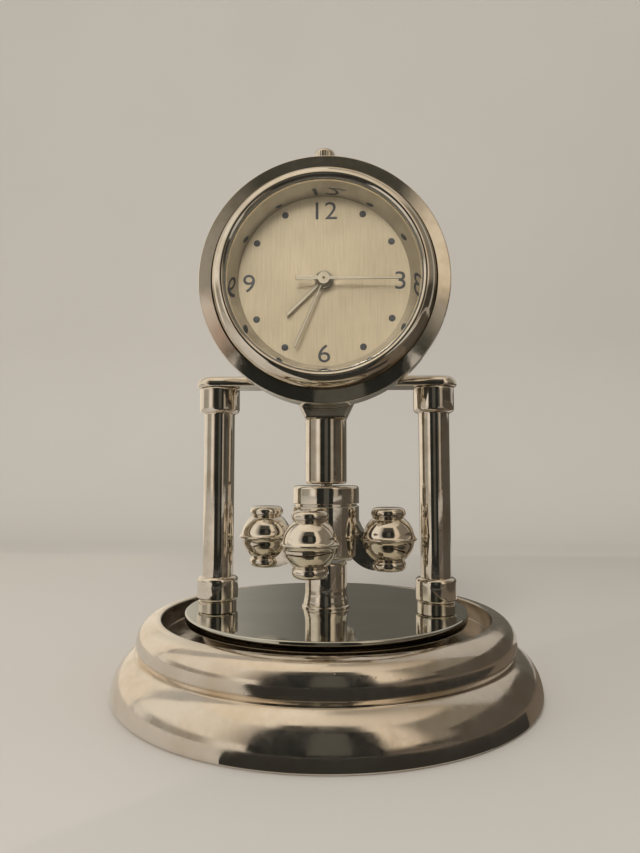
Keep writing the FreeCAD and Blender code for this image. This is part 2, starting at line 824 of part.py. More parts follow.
def make_bezel():
    """Front ring: a flat band, then a raised round ridge that holds the crystal."""
    edge = 0.15
    ridge, face, top = size.bezel_ridge_radius, size.bezel_face, size.bezel_ridge_face
    glass = size.glass_edge_radius
    spigot = size.spigot_seat_radius - size.fit_gap
    spigot_bore = size.rehaut_radius + size.fit_gap
    spigot_end = size.case_joint + size.spigot_depth - 0.02
    turned_in_head("bezel", [
        (size.case_joint, spigot),
        (size.case_joint, size.case_radius),
        (face + edge, size.case_radius, edge),
        (face, size.case_radius - edge),
        (face - 0.2, ridge + 0.05),
        (face - 0.1, ridge, 3.2),
        (top + 0.28, glass + 1.17, 0.8),
        (top + 0.02, glass + 0.55),
        (size.crystal_front + 0.1, glass),
        (size.crystal_back, glass),
        (size.crystal_back, size.rehaut_front_radius),
        (size.rehaut_front, size.rehaut_front_radius),
        (size.rehaut_front, spigot_bore),
        (spigot_end, spigot_bore),
        (spigot_end, spigot),
    ])


def make_crystal():
    """Flat glass, its gasket, and the polished ring that slopes in to the dial."""
    bevel = 0.1
    turned_in_head("crystal", [
        (size.crystal_front, 0),
        (size.crystal_back, 0),
        (size.crystal_back, size.crystal_radius),
        (size.crystal_front + bevel, size.crystal_radius),
        (size.crystal_front, size.crystal_radius - bevel),
    ])
    turned_in_head("crystal_gasket", [
        (size.crystal_front + bevel, size.crystal_radius),
        (size.crystal_back, size.crystal_radius),
        (size.crystal_back, size.glass_edge_radius),
        (size.crystal_front + bevel, size.glass_edge_radius),
    ])
    turned_in_head("rehaut_ring", [
        (size.rehaut_front, size.rehaut_front_radius),
        (size.dial_face, size.dial_window_radius),
        (size.dial_face, size.rehaut_radius),
        (size.rehaut_front, size.rehaut_radius),
    ])


def make_dial():
    """Thin plate with a hole for the hands' tubes."""
    hole = size.hour_tube_radius + 0.1
    dial_back = size.dial_face + size.dial_thickness
    turned_in_head("dial", [
        (size.dial_face, hole),
        (dial_back, hole),
        (dial_back, size.dial_radius),
        (size.dial_face, size.dial_radius),
    ])


def make_case_back():
    """Cover with a raised middle, pressed into the rear opening."""
    rear, rim = size.case_back_face, size.case_opening_radius
    inside = rear - size.case_wall + 0.1
    raised = rear + size.case_back_rise
    turned_in_head("case_back", [
        (inside, 0),
        (raised, 0),
        (raised, rim - 2.6),
        (rear, rim - 0.6),
        (rear, rim),
        (inside, rim),
    ])


# ---------------------------------------------------------------- movement

# Places in the movement, to the right of the dial's axis and above it.
cell_x, cell_z = -3.6, -5.1
coil_x, coil_z = 4.9, -2.0


def clears_stem(low, high):
    """How to draw the slot through which the stem and its lever reach, between two heights."""
    half = 1.2
    return lambda sketch: draw_outline(sketch, rectangle(-half, low, half, high))


def make_holder_and_plate():
    """Ring that centres the movement in the case, and the moulded plate that carries it."""
    front, back = size.movement_front, size.movement_back
    wide, tall, gap = size.movement_half_width, size.movement_half_height, size.fit_gap
    stem_floor = size.stem_depth - size.stem_radius - 0.2
    ring_bore = 2.0
    holder = turned_in_head("movement_holder", [
        (front, ring_bore),
        (back, ring_bore),
        (back, size.holder_radius),
        (front, size.holder_radius),
    ])
    window = rectangle(-wide - gap, -tall - gap, wide + gap, tall + gap)
    add_pocket(holder, "movement_window", "XZ_Plane", -back, back - front,
               lambda sketch: draw_outline(sketch, window), reverse=True)
    add_pocket(holder, "holder_stem_slot", "XZ_Plane", -back, back - stem_floor,
               clears_stem(size.fork_height, size.holder_radius + 0.7), reverse=True)

    train_radius, train_depth, pivot_depth = 2.6, 1.15, 1.65
    coil_half_width, coil_half_height, coil_depth = 1.1, 5.2, 1.75
    board_seat = 0.3
    plate_back = back - board_seat
    plate = new_body("movement_plate")
    add_pad(plate, "plate_blank", "XZ_Plane", -plate_back, plate_back - front,
            lambda sketch: draw_outline(sketch, rectangle(-wide, -tall, wide, tall)))
    dress(plate, "Fillet", "plate_corners", dim(1.0), runs_in_depth)
    add_pocket(plate, "train_cavity", "XZ_Plane", -front, train_depth,
               lambda sketch: draw_circle(sketch, 0, 0, train_radius))
    add_pocket(plate, "pivot_hole", "XZ_Plane", -front, pivot_depth,
               lambda sketch: draw_circle(sketch, 0, 0, size.seconds_radius + gap))
    add_pocket(plate, "cell_pocket", "XZ_Plane", -plate_back, size.cell_thickness - board_seat,
               lambda sketch: draw_circle(sketch, cell_x, cell_z, size.cell_radius + gap), reverse=True)
    coil_seat = rectangle(coil_x - coil_half_width, coil_z - coil_half_height,
                          coil_x + coil_half_width, coil_z + coil_half_height)
    add_pocket(plate, "coil_pocket", "XZ_Plane", -plate_back, coil_depth,
               lambda sketch: draw_outline(sketch, coil_seat), reverse=True)
    add_pocket(plate, "plate_stem_slot", "XZ_Plane", -plate_back, plate_back - stem_floor,
               clears_stem(size.stem_bottom - 0.3, tall), reverse=True)
    lift_to_head(plate)


def make_power_and_drive():
    """Button cell under its spring clamp, the coil that drives the train, and the circuit."""
    back = size.movement_back
    cell_front = back - size.cell_thickness
    step, lid = cell_front + 0.4, size.cell_radius - 0.5
    cell = turned("power_cell", [
        (cell_front, 0),
        (back, 0),
        (back, size.cell_radius),
        (step, size.cell_radius),
        (step, lid),
        (cell_front, lid),
    ], role="YZ_Plane", axis="H_Axis")
    cell.Placement.Base.x = cell_x
    cell.setExpression("Placement.Base.z", (size.head_height + cell_z).formula)

    clamp = new_body("cell_clamp")
    reach, half_strip, strip_thickness = size.cell_radius - 0.2, 0.9, 0.12
    strip = rectangle(-reach + cell_x, cell_z - half_strip, reach + cell_x, cell_z + half_strip)
    add_pad(clamp, "clamp_blank", "XZ_Plane", -back, strip_thickness,
            lambda sketch: draw_outline(sketch, strip), reverse=True)
    dress(clamp, "Fillet", "clamp_corners", dim(0.5), runs_in_depth)
    lift_to_head(clamp)

    winding, core, half_winding, half_core, coil_depth = 0.8, 0.45, 4.2, 5.1, -4.75
    coil = turned("drive_coil", [
        (0, coil_z - half_core),
        (core, coil_z - half_core),
        (core, coil_z - half_winding),
        (winding, coil_z - half_winding),
        (winding, coil_z + half_winding),
        (core, coil_z + half_winding),
        (core, coil_z + half_core),
        (0, coil_z + half_core),
    ])
    coil.Placement.Base = FreeCAD.Vector(coil_x, coil_depth, 0)
    lift_to_head(coil)

    board = new_body("circuit_board")
    board_left, board_right, board_low, board_high, board_thickness = 1.2, 7.0, -8.2, 3.8, 0.28
    add_pad(board, "board_blank", "XZ_Plane", -back, board_thickness, lambda sketch: draw_outline(
        sketch, rectangle(board_left, board_low, board_right, board_high)))
    dress(board, "Fillet", "board_corners", dim(0.8), runs_in_depth)
    lift_to_head(board)


def make_train():
    """The three coaxial arbors that carry the hands, one inside the next."""
    gap = size.fit_gap
    wheel_thickness, wheel_pitch = 0.22, 0.34
    wheel_face = size.movement_front + 0.06

    def arbor(label, outer, bore, wheel_radius, place, tip):
        front = wheel_face + wheel_pitch * place
        back = front + wheel_thickness
        turned_in_head(label, [
            (tip, bore),
            (back, bore),
            (back, wheel_radius),
            (front, wheel_radius),
            (front, outer),
            (tip, outer),
        ])

    arbor("hour_wheel", size.hour_tube_radius, size.cannon_radius + gap, 2.2, 0, size.hour_hand_plane)
    arbor("cannon_pinion", size.cannon_radius, size.seconds_radius + gap, 1.5, 1,
          size.minute_hand_plane)
    arbor("seconds_arbor", size.seconds_radius, 0, 1.9, 2, size.second_hand_plane - 0.1)


def make_crown_and_stem():
    """Crown at twelve on its stem, and the setting lever whose fork rides in the stem's neck."""
    crown, bottom_edge, top_round = size.crown_radius, 0.25, 0.7
    bottom, top = size.crown_bottom, size.crown_top
    stem, neck = size.stem_radius, size.stem_neck_radius
    stem_top = bottom + size.crown_bore_depth
    fork_bottom, play = size.fork_height, 0.03
    fork_top = fork_bottom + size.fork_thickness
    piece = turned("crown", [
        (0, stem_top),
        (stem, stem_top),
        (stem, bottom),
        (crown - bottom_edge, bottom),
        (crown, bottom + bottom_edge),
        (crown, top - top_round, top_round),
        (crown - top_round, top),
        (0, top),
    ])
    flutes = 32
    first = math.pi / flutes
    flute_orbit = crown + 0.02
    flute_x, flute_y = flute_orbit * math.cos(first), flute_orbit * math.sin(first)
    add_pocket(piece, "crown_flute", "XY_Plane", bottom, top - bottom,
               lambda sketch: draw_circle(sketch, flute_x, flute_y, size.crown_flute_radius),
               reverse=True)
    fluting = piece.newObject("PartDesign::PolarPattern", "crown_fluting")
    fluting.Originals = [doc.getObject("crown_flute")]
    fluting.Axis = (doc.getObject("crown_flute_sketch"), ["N_Axis"])
    fluting.Angle = 360
    fluting.Occurrences = flutes
    piece.Tip = fluting
    doc.recompute()

    rod = turned("winding_stem", [
        (0, size.stem_bottom),
        (stem, size.stem_bottom),
        (stem, fork_bottom - play),
        (neck, fork_bottom - play),
        (neck, fork_top + play),
        (stem, fork_top + play),
        (stem, stem_top),
        (0, stem_top),
    ])
    lever = new_body("setting_lever")
    lever_half, lever_front, lever_back = 1.0, -0.5, 0.45
    add_pad(lever, "lever_blank", "XY_Plane", fork_bottom, size.fork_thickness,
            lambda sketch: draw_outline(sketch, rectangle(-lever_half, lever_front, lever_half, lever_back)))
    add_pocket(lever, "lever_fork", "XY_Plane", fork_bottom, size.fork_thickness,
               lambda sketch: draw_circle(sketch, 0, 0, neck + size.fit_gap), reverse=True)
    add_pocket(lever, "lever_mouth", "XY_Plane", fork_bottom, size.fork_thickness,
               lambda sketch: draw_outline(sketch, rectangle(-neck, lever_front - 0.1, neck, 0)),
               reverse=True)
    for part in (piece, rod, lever):
        part.setExpression("Placement.Base.y", size.stem_depth.formula)
        lift_to_head(part)


# ---------------------------------------------------------------- hands

def make_hand(label, plane, angle, outline, hub_radius, bore):
    """A hand stamped from sheet, drawn pointing to twelve and then turned to its time."""
    hand = new_body(label)
    thickness = size.hand_thickness
    add_pad(hand, f"{label}_blade", "XZ_Plane", 0, thickness,
            lambda sketch: draw_outline(sketch, outline), reverse=True)
    add_pad(hand, f"{label}_hub", "XZ_Plane", 0, thickness,
            lambda sketch: draw_circle(sketch, 0, 0, hub_radius), reverse=True)
    add_pocket(hand, f"{label}_bore", "XZ_Plane", 0, thickness,
               lambda sketch: draw_circle(sketch, 0, 0, bore))
    hand.Placement.Rotation = FreeCAD.Rotation(FreeCAD.Vector(0, 1, 0), angle.value)
    hand.setExpression("Placement.Rotation.Angle", f"{angle.formula} * 1 deg")
    hand.setExpression("Placement.Base.y", plane.formula)
    lift_to_head(hand)


def make_hands():
    """Hour and minute batons with slanted tips, and a needle with a counterweight tail."""

    def baton(root, root_half, tip_half, length, slant):
        """A bar that widens a little towards its slanted tip."""
        return [
            (-root_half, root),
            (root_half, root),
            (tip_half, length - slant),
            (-tip_half, length),
        ]

    make_hand("hour_hand", size.hour_hand_plane, size.hour_hand_angle,
              baton(0.4, 0.22, 0.3, size.hour_hand_length, 0.4), 1.15, size.hour_tube_radius)
    make_hand("minute_hand", size.minute_hand_plane, size.minute_hand_angle,
              baton(0.3, 0.17, 0.21, size.minute_hand_length, 0.3), 0.95, size.cannon_radius)
    second, tail = size.second_hand_length, size.second_hand_tail
    tip_half, waist_half, tail_half, corner = 0.14, 0.17, 0.28, 0.1
    make_hand("second_hand", size.second_hand_plane, size.second_hand_angle, [
        (-tip_half, second),
        (-waist_half, 0),
        (-tail_half, -tail + corner),
        (-tail_half + corner, -tail),
        (tail_half - corner, -tail),
        (tail_half, -tail + corner),
        (waist_half, 0),
        (tip_half, second),
    ], 0.82, size.seconds_radius)


make_base_shell()
make_felt_pad()
make_mirror_disc()
for side_name, side_sign in (("left", -1), ("right", 1)):
    make_column(side_name, side_sign)
make_tie_rods()
make_crossbar()
make_neck_block()
make_neck_screws()
make_centre_posts()
make_pendulum_hub()
for number, place_name in enumerate(("right", "back", "left", "front")):
    make_pendulum_ball(f"pendulum_ball_{place_name}", size.pendulum_turn + 90 * number)
make_case()
make_bezel()
make_crystal()
make_dial()
make_case_back()
make_holder_and_plate()
make_power_and_drive()
make_train()
make_crown_and_stem()
make_hands()

doc.recompute()
for item in doc.Objects:
    if "Invalid" in item.State or "Error" in item.State:
        raise RuntimeError(f"{item.Label} failed: {item.State}")
os.makedirs("parts", exist_ok=True)
for part in sub_parts:
    if part.Shape.isNull() or not part.Shape.isValid():
        raise RuntimeError(f"{part.Label} has no valid shape")
    part.Shape.exportStep(f"parts/{part.Label}.step")
    print(part.Label, len(part.Shape.Solids), round(part.Shape.Volume, 3))
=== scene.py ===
import json
import math

import bmesh
import bpy
from mathutils import Matrix, Vector

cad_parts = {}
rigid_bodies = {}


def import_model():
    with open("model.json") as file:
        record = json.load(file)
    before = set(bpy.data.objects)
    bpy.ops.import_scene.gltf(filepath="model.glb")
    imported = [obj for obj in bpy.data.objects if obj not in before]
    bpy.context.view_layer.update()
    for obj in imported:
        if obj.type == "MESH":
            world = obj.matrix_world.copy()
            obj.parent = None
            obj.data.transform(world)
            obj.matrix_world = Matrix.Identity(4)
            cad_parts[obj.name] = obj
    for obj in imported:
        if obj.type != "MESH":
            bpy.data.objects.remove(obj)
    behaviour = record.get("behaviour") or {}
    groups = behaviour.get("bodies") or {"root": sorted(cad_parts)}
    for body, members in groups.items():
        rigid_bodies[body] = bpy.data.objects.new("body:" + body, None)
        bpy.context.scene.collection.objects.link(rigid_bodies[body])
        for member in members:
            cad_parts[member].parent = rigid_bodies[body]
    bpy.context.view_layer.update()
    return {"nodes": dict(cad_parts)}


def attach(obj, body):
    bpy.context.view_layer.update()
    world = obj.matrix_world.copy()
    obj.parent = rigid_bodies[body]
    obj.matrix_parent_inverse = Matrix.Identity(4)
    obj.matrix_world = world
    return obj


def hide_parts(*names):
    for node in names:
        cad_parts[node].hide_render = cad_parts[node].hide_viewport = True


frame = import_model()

# ---------------------------------------------------------------- base casting
# The base is one hollow zinc casting with two rounded tiers, plated in a warm nickel. Its wide
# recess holds the mirror disc, and the tie rods clamp the columns to it from below.

MM = 0.001
BASE_FOOT = 26.14
BASE_RADIUS = 26.65
CREASE_RADIUS = 24.0
CREASE_HEIGHT = 5.05
TIER_RADIUS = 23.8
TIER_MIDDLE = 6.5
RECESS_RADIUS = 20.83
RECESS_FLOOR = 6.6
RIM_HEIGHT = 8.98
SEAT_RADIUS = 15.8
SEAT_HEIGHT = 8.34
FOOT_ARC = 0.88
LOWER_TIER_ARC = 4.73
CREASE_ARC = 0.08
UPPER_FOOT_ARC = 2.6
UPPER_TIER_ARC = 2.48
RIM_ROUND = 0.25
RECESS_ROUND = 0.2
SHELL_CEILING = 4.9
ROD_HOLE = 0.85
PAD_RADIUS = 24.5
PAD_THICKNESS = 1.0
NICKEL = (0.800, 0.735, 0.655)
NICKEL_WORN = (0.700, 0.612, 0.505)
RECESS_PAINTED_SHADE = (0.50, 0.47, 0.43)


def arc_run(start, end, radius, step=5.0):
    """Points after start along the short arc to end, every few degrees. A positive radius has
    its centre to the left of the way from start to end."""
    (x0, y0), (x1, y1) = start, end
    chord = math.hypot(x1 - x0, y1 - y0)
    rise = math.sqrt(max(radius * radius - chord * chord / 4, 0.0)) * math.copysign(1, radius)
    cx = (x0 + x1) / 2 - (y1 - y0) / chord * rise
    cy = (y0 + y1) / 2 + (x1 - x0) / chord * rise
    first = math.atan2(y0 - cy, x0 - cx)
    turn = math.atan2(y1 - cy, x1 - cx) - first
    turn = (turn + math.pi) % math.tau - math.pi
    count = max(2, math.ceil(abs(math.degrees(turn)) / step - 1e-6))
    size = abs(radius)
    return [(cx + size * math.cos(first + turn * i / count),
             cy + size * math.sin(first + turn * i / count)) for i in range(1, count + 1)]


def outline_points(corners, step=5.0):
    """The closed outline through (x, y) corners. A third number makes the side that leaves the
    corner an arc of that radius."""
    points = [corners[0][:2]]
    for number, corner in enumerate(corners):
        following = corners[(number + 1) % len(corners)]
        if len(corner) == 3:
            points += arc_run(corner[:2], following[:2], corner[2], step)
        else:
            points.append(following[:2])
    return points[:-1]


def add_piece(name, bm, material, crease=32.0):
    """A finished mesh in the scene, in metres, smooth except where faces meet sharply. The large
    faces keep their own flatness and the small ones beside them take the bend."""
    bmesh.ops.remove_doubles(bm, verts=bm.verts, dist=1e-7)
    bmesh.ops.recalc_face_normals(bm, faces=bm.faces)
    mesh = bpy.data.meshes.new(name)
    bm.to_mesh(mesh)
    bm.free()
    for polygon in mesh.polygons:
        polygon.use_smooth = True
    mesh.set_sharp_from_angle(angle=math.radians(crease))
    mesh.materials.append(material)
    piece = bpy.data.objects.new(name, mesh)
    bpy.context.scene.collection.objects.link(piece)
    flatness = piece.modifiers.new("flatness", "WEIGHTED_NORMAL")
    flatness.weight = 100
    flatness.keep_sharp = True
    settled = piece.evaluated_get(bpy.context.evaluated_depsgraph_get())
    piece.data = bpy.data.meshes.new_from_object(settled)
    piece.modifiers.clear()
    bpy.data.meshes.remove(mesh)
    return piece


def turn_rings(bm, points, sides, place):
    """Rings of one closed turned section. place(radius, along, angle) gives each vertex."""
    rings = []
    for radius, along in points:
        if radius < 1e-6:
            rings.append([bm.verts.new(place(0.0, along, 0.0))] * sides)
            continue
        rings.append([bm.verts.new(place(radius, along, math.tau * i / sides)) for i in range(sides)])
    for number, ring in enumerate(rings):
        following = rings[(number + 1) % len(rings)]
        for i in range(sides):
            j = (i + 1) % sides
            unique = list(dict.fromkeys([ring[i], ring[j], following[j], following[i]]))
            if len(unique) > 2:
                bm.faces.new(unique)


def upright_at(x=0.0, y=0.0):
    """How a piece turned about an upright axis at (x, y) in mm places its vertices."""
    def place(radius, along, angle):
        return ((x + radius * math.cos(angle)) * MM, (y + radius * math.sin(angle)) * MM, along * MM)
    return place


def turned_upright(name, corners, material, sides=160, at=(0.0, 0.0), step=5.0, crease=32.0):
    """A piece turned about an upright axis, from (radius, height) corners in mm."""
    bm = bmesh.new()
    turn_rings(bm, outline_points(corners, step), sides, upright_at(*at))
    return add_piece(name, bm, material, crease)


def stands_for(piece, body, slot, *nodes):
    """A visible piece moves with its body and takes the place of the plain solids."""
    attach(piece, body)
    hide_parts(*nodes)


def node_in(tree, kind, inputs=(), **settings):
    """A node with its settings, and with its inputs either linked or set."""
    made = tree.nodes.new(kind)
    for key, value in settings.items():
        setattr(made, key, value)
    for socket, value in dict(inputs).items():
        if isinstance(value, bpy.types.NodeSocket):
            tree.links.new(value, made.inputs[socket])
        else:
            made.inputs[socket].default_value = value
    return made


def set_stops(ramp, stops):
    """Give a colour ramp its (position, colour) stops, from first to last."""
    elements = ramp.color_ramp.elements
    for element, (position, colour) in zip((elements[0], elements[-1]), (stops[0], stops[-1])):
        element.position = position
        element.color = (*colour, 1)
    for position, colour in stops[1:-1]:
        elements.new(position).color = (*colour, 1)


class Finish:
    """A surface finish while it is being made: its shader and short ways to add nodes."""

    def __init__(self, name, **plain):
        self.material = bpy.data.materials.new(name)
        self.material.use_nodes = True
        self.tree = self.material.node_tree
        self.shader = self.tree.nodes["Principled BSDF"]
        self.place = self.node("ShaderNodeTexCoord").outputs["Object"]
        self.normal = None
        for socket, value in plain.items():
            self.shader.inputs[socket.replace("_", " ")].default_value = value

    def node(self, kind, inputs=(), **settings):
        return node_in(self.tree, kind, inputs, **settings)

    def link(self, socket, output):
        self.tree.links.new(output, self.shader.inputs[socket])

    def stretched(self, x, y, z):
        """The place, drawn out along the axes with small factors."""
        return self.node("ShaderNodeVectorMath", {0: self.place, 1: (x, y, z)},
                         operation="MULTIPLY").outputs[0]

    def noise(self, scale, detail=4.0, roughness=0.5, distortion=0.0, place=None):
        return self.node("ShaderNodeTexNoise", {
            "Vector": place or self.place, "Scale": scale, "Detail": detail,
            "Roughness": roughness, "Distortion": distortion}).outputs["Fac"]

    def ramp(self, factor, *stops):
        made = self.node("ShaderNodeValToRGB", {"Fac": factor})
        set_stops(made, stops)
        return made.outputs["Color"]

    def spread(self, value, low, high, first, last):
        return self.node("ShaderNodeMapRange", {
            "Value": value, "From Min": low, "From Max": high, "To Min": first,
            "To Max": last}).outputs["Result"]

    def times(self, colour, tint):
        """One colour tinted by another."""
        return self.node("ShaderNodeMix", {"Factor": 1.0, 6: colour, 7: tint}, data_type="RGBA",
                         blend_type="MULTIPLY").outputs[2]

    def follow(self, lines, dark, light, smooth, rough):
        """Colour and roughness that both follow the lines a tool has left."""
        self.link("Base Color", self.ramp(lines, (0.3, dark), (0.7, light)))
        self.link("Roughness", self.spread(lines, 0.3, 0.7, smooth, rough))

    def bump(self, height, strength, distance):
        """Relief on top of any relief before it. The distance is in millimetres."""
        inputs = {"Height": height, "Strength": strength, "Distance": distance * MM}
        if self.normal:
            inputs["Normal"] = self.normal
        self.normal = self.node("ShaderNodeBump", inputs).outputs["Normal"]
        self.link("Normal", self.normal)


def radius_from_axis(finish, scale, across=(1.0, 1.0, 0.0), centre=(0.0, 0.0, 0.0)):
    """Distance from an axis through centre, times scale. across marks the directions that count,
    so it gives the clock's upright axis when nothing is said."""
    moved = finish.node("ShaderNodeVectorMath", {0: finish.place, 1: centre},
                        operation="SUBTRACT").outputs[0]
    flat = finish.node("ShaderNodeVectorMath", {0: moved, 1: tuple(scale * way for way in across)},
                       operation="MULTIPLY").outputs[0]
    return finish.node("ShaderNodeVectorMath", {0: flat}, operation="LENGTH").outputs["Value"]


def plating(name, bright, worn, haze, wave, patch, pits=0.0, recess_shade=None):
    """Nickel plate over a casting: slow colour drift, hazy fingermarks, a faint swell in the surface from the
    polished casting under it, and pinprick pits. The last argument is a radius in mm and a tint: inside that
    radius the colour is multiplied by the tint, a painted shade for the recess."""
    coat = Finish(name, Metallic=1.0)
    colour = coat.ramp(coat.noise(patch, 5.0, 0.62), (0.30, worn), (0.56, bright))
    # Painted shade: inside the given radius the colour is darkened by the tint, for the recess.
    if recess_shade:
        radius, tint = recess_shade
        beyond_recess_shade = coat.spread(radius_from_axis(coat, 1 / MM), radius, radius + 0.1, 0.0, 1.0)
        colour = coat.times(colour, coat.ramp(beyond_recess_shade, (0.0, tint), (1.0, (1.0, 1.0, 1.0))))
    coat.link("Base Color", colour)
    marks = coat.noise(patch * 3.1, 8.0, 0.7, 0.6)
    coat.link("Roughness", coat.spread(marks, 0.35, 0.75, haze * 0.5, haze * 2.0))
    coat.bump(coat.noise(420.0, 2.0), wave, 0.02)
    if pits:
        dots = coat.node("ShaderNodeTexVoronoi", {"Vector": coat.place, "Scale": 900.0})
        coat.bump(coat.spread(dots.outputs["Distance"], 0.0, 0.09, 0.0, 1.0), pits, 0.03)
    return coat.material


# Inside the recess wall the nickel is darkened by a painted shade tint.
base_plate = plating("base_nickel", NICKEL, NICKEL_WORN, haze=0.14, wave=0.42, patch=150.0, pits=0.35,
                     recess_shade=(RECESS_RADIUS + 0.05, RECESS_PAINTED_SHADE))
base = turned_upright("base_casting", [
    (ROD_HOLE, SEAT_HEIGHT), (ROD_HOLE, SHELL_CEILING), (RECESS_RADIUS + 0.5, SHELL_CEILING),
    (RECESS_RADIUS + 1.6, SHELL_CEILING - 1.0, -3.8), (PAD_RADIUS - 0.4, PAD_THICKNESS),
    (PAD_RADIUS + 0.1, PAD_THICKNESS), (PAD_RADIUS + 0.1, 0), (BASE_FOOT, 0, FOOT_ARC),
    (BASE_RADIUS, 0.8, LOWER_TIER_ARC), (CREASE_RADIUS + 0.02, CREASE_HEIGHT - 0.03, -CREASE_ARC),
    (CREASE_RADIUS - 0.12, CREASE_HEIGHT + 0.02),
    (CREASE_RADIUS - 0.52, CREASE_HEIGHT + 0.06, UPPER_FOOT_ARC),
    (TIER_RADIUS, TIER_MIDDLE, UPPER_TIER_ARC), (RECESS_RADIUS + 0.5, RIM_HEIGHT),
    (RECESS_RADIUS + RIM_ROUND, RIM_HEIGHT, RIM_ROUND), (RECESS_RADIUS, RIM_HEIGHT - RIM_ROUND),
    (RECESS_RADIUS, RECESS_FLOOR + RECESS_ROUND, -RECESS_ROUND),
    (RECESS_RADIUS - RECESS_ROUND, RECESS_FLOOR), (SEAT_RADIUS, RECESS_FLOOR), (SEAT_RADIUS, SEAT_HEIGHT),
], base_plate, sides=256, step=3.0, crease=40.0)
stands_for(base, "clock", "plated_casting", "base_shell")

# ---------------------------------------------------------------- felt pad
# A disc of pressed wool felt, glued into the foot of the casting so that the clock stands
# without scratching. Its solid is its true shape, so it only takes a finish.


def coat_nodes(finish, *names):
    """Give a finish to pieces whose solid already has their true shape."""
    for name in names:
        for slot in frame["nodes"][name].material_slots:
            slot.material = finish.material


felt = Finish("pressed_felt", Roughness=1.0, Sheen_Weight=0.4)
fibres = felt.noise(5200.0, 6.0, 0.75, 1.5)
felt.link("Base Color", felt.ramp(fibres, (0.30, (0.020, 0.042, 0.032)), (0.72, (0.070, 0.125, 0.095))))
felt.bump(fibres, 0.8, 0.12)
coat_nodes(felt, "felt_pad")

# ---------------------------------------------------------------- mirror disc
# A thick turned disc, ground flat and polished to a mirror, with a small bevel round its edge.
# The columns and the centre post stand on it.

DISC_RADIUS = 18.06
DISC_TOP = 9.54
DISC_BEVEL = 0.2


def turning_lines(finish, detail, scale, **axis):
    """Fine rings round an axis, as the tool leaves them on turned work."""
    return finish.node("ShaderNodeTexNoise", {"W": radius_from_axis(finish, scale, **axis),
                                              "Detail": detail}, noise_dimensions="1D").outputs["Fac"]


mirror = Finish("mirror_polish", Metallic=1.0)
mirror.link("Base Color", mirror.ramp(mirror.noise(70.0, 4.0), (0.34, (0.520, 0.520, 0.470)),
                                      (0.62, (0.620, 0.618, 0.565))))
smudges = mirror.noise(380.0, 8.0, 0.72, 0.8)
mirror.link("Roughness", mirror.spread(smudges, 0.42, 0.74, 0.03, 0.13))
mirror.bump(turning_lines(mirror, 3.0, 5200.0), 0.10, 0.004)
mirror.bump(mirror.noise(260.0, 2.0), 0.25, 0.012)
disc = turned_upright("polished_disc", [
    (ROD_HOLE, SEAT_HEIGHT), (DISC_RADIUS - DISC_BEVEL, SEAT_HEIGHT, DISC_BEVEL),
    (DISC_RADIUS, SEAT_HEIGHT + DISC_BEVEL), (DISC_RADIUS, DISC_TOP - DISC_BEVEL, DISC_BEVEL * 1.2),
    (DISC_RADIUS - DISC_BEVEL, DISC_TOP), (ROD_HOLE, DISC_TOP),
], mirror.material, sides=256, step=15.0, crease=50.0)
stands_for(disc, "clock", "mirror_plate", "mirror_disc")

# ---------------------------------------------------------------- columns
# Each column is a plated tube between two turned ferrules, threaded on its own tie rod. The foot
# ferrule stands on a narrower ring, and both ferrules have soft turned edges.

COLUMN_PLACE = 14.27
COLUMN_RADIUS = 2.0
FERRULE_RADIUS = 2.65
TOP_FERRULE_BOTTOM = 34.75
FOOT_FERRULE_BOTTOM = 10.3
FOOT_FERRULE_TOP = 13.4
FOOT_RING_RADIUS = 2.46
FERRULE_STEP = 0.12
FERRULE_LIP = 0.55
FERRULE_EDGE = 0.3
FOOT_EDGE = 0.45
FOOT_SHOULDER = 0.6
TUBE_IN_FOOT = 2.4
TUBE_IN_TOP = 2.6
BAR_BOTTOM = 38.15
POST_NICKEL = (0.815, 0.765, 0.690)
POST_NICKEL_WORN = (0.680, 0.600, 0.500)

post_plate = plating("post_nickel", POST_NICKEL, POST_NICKEL_WORN, haze=0.075, wave=0.30, patch=330.0)


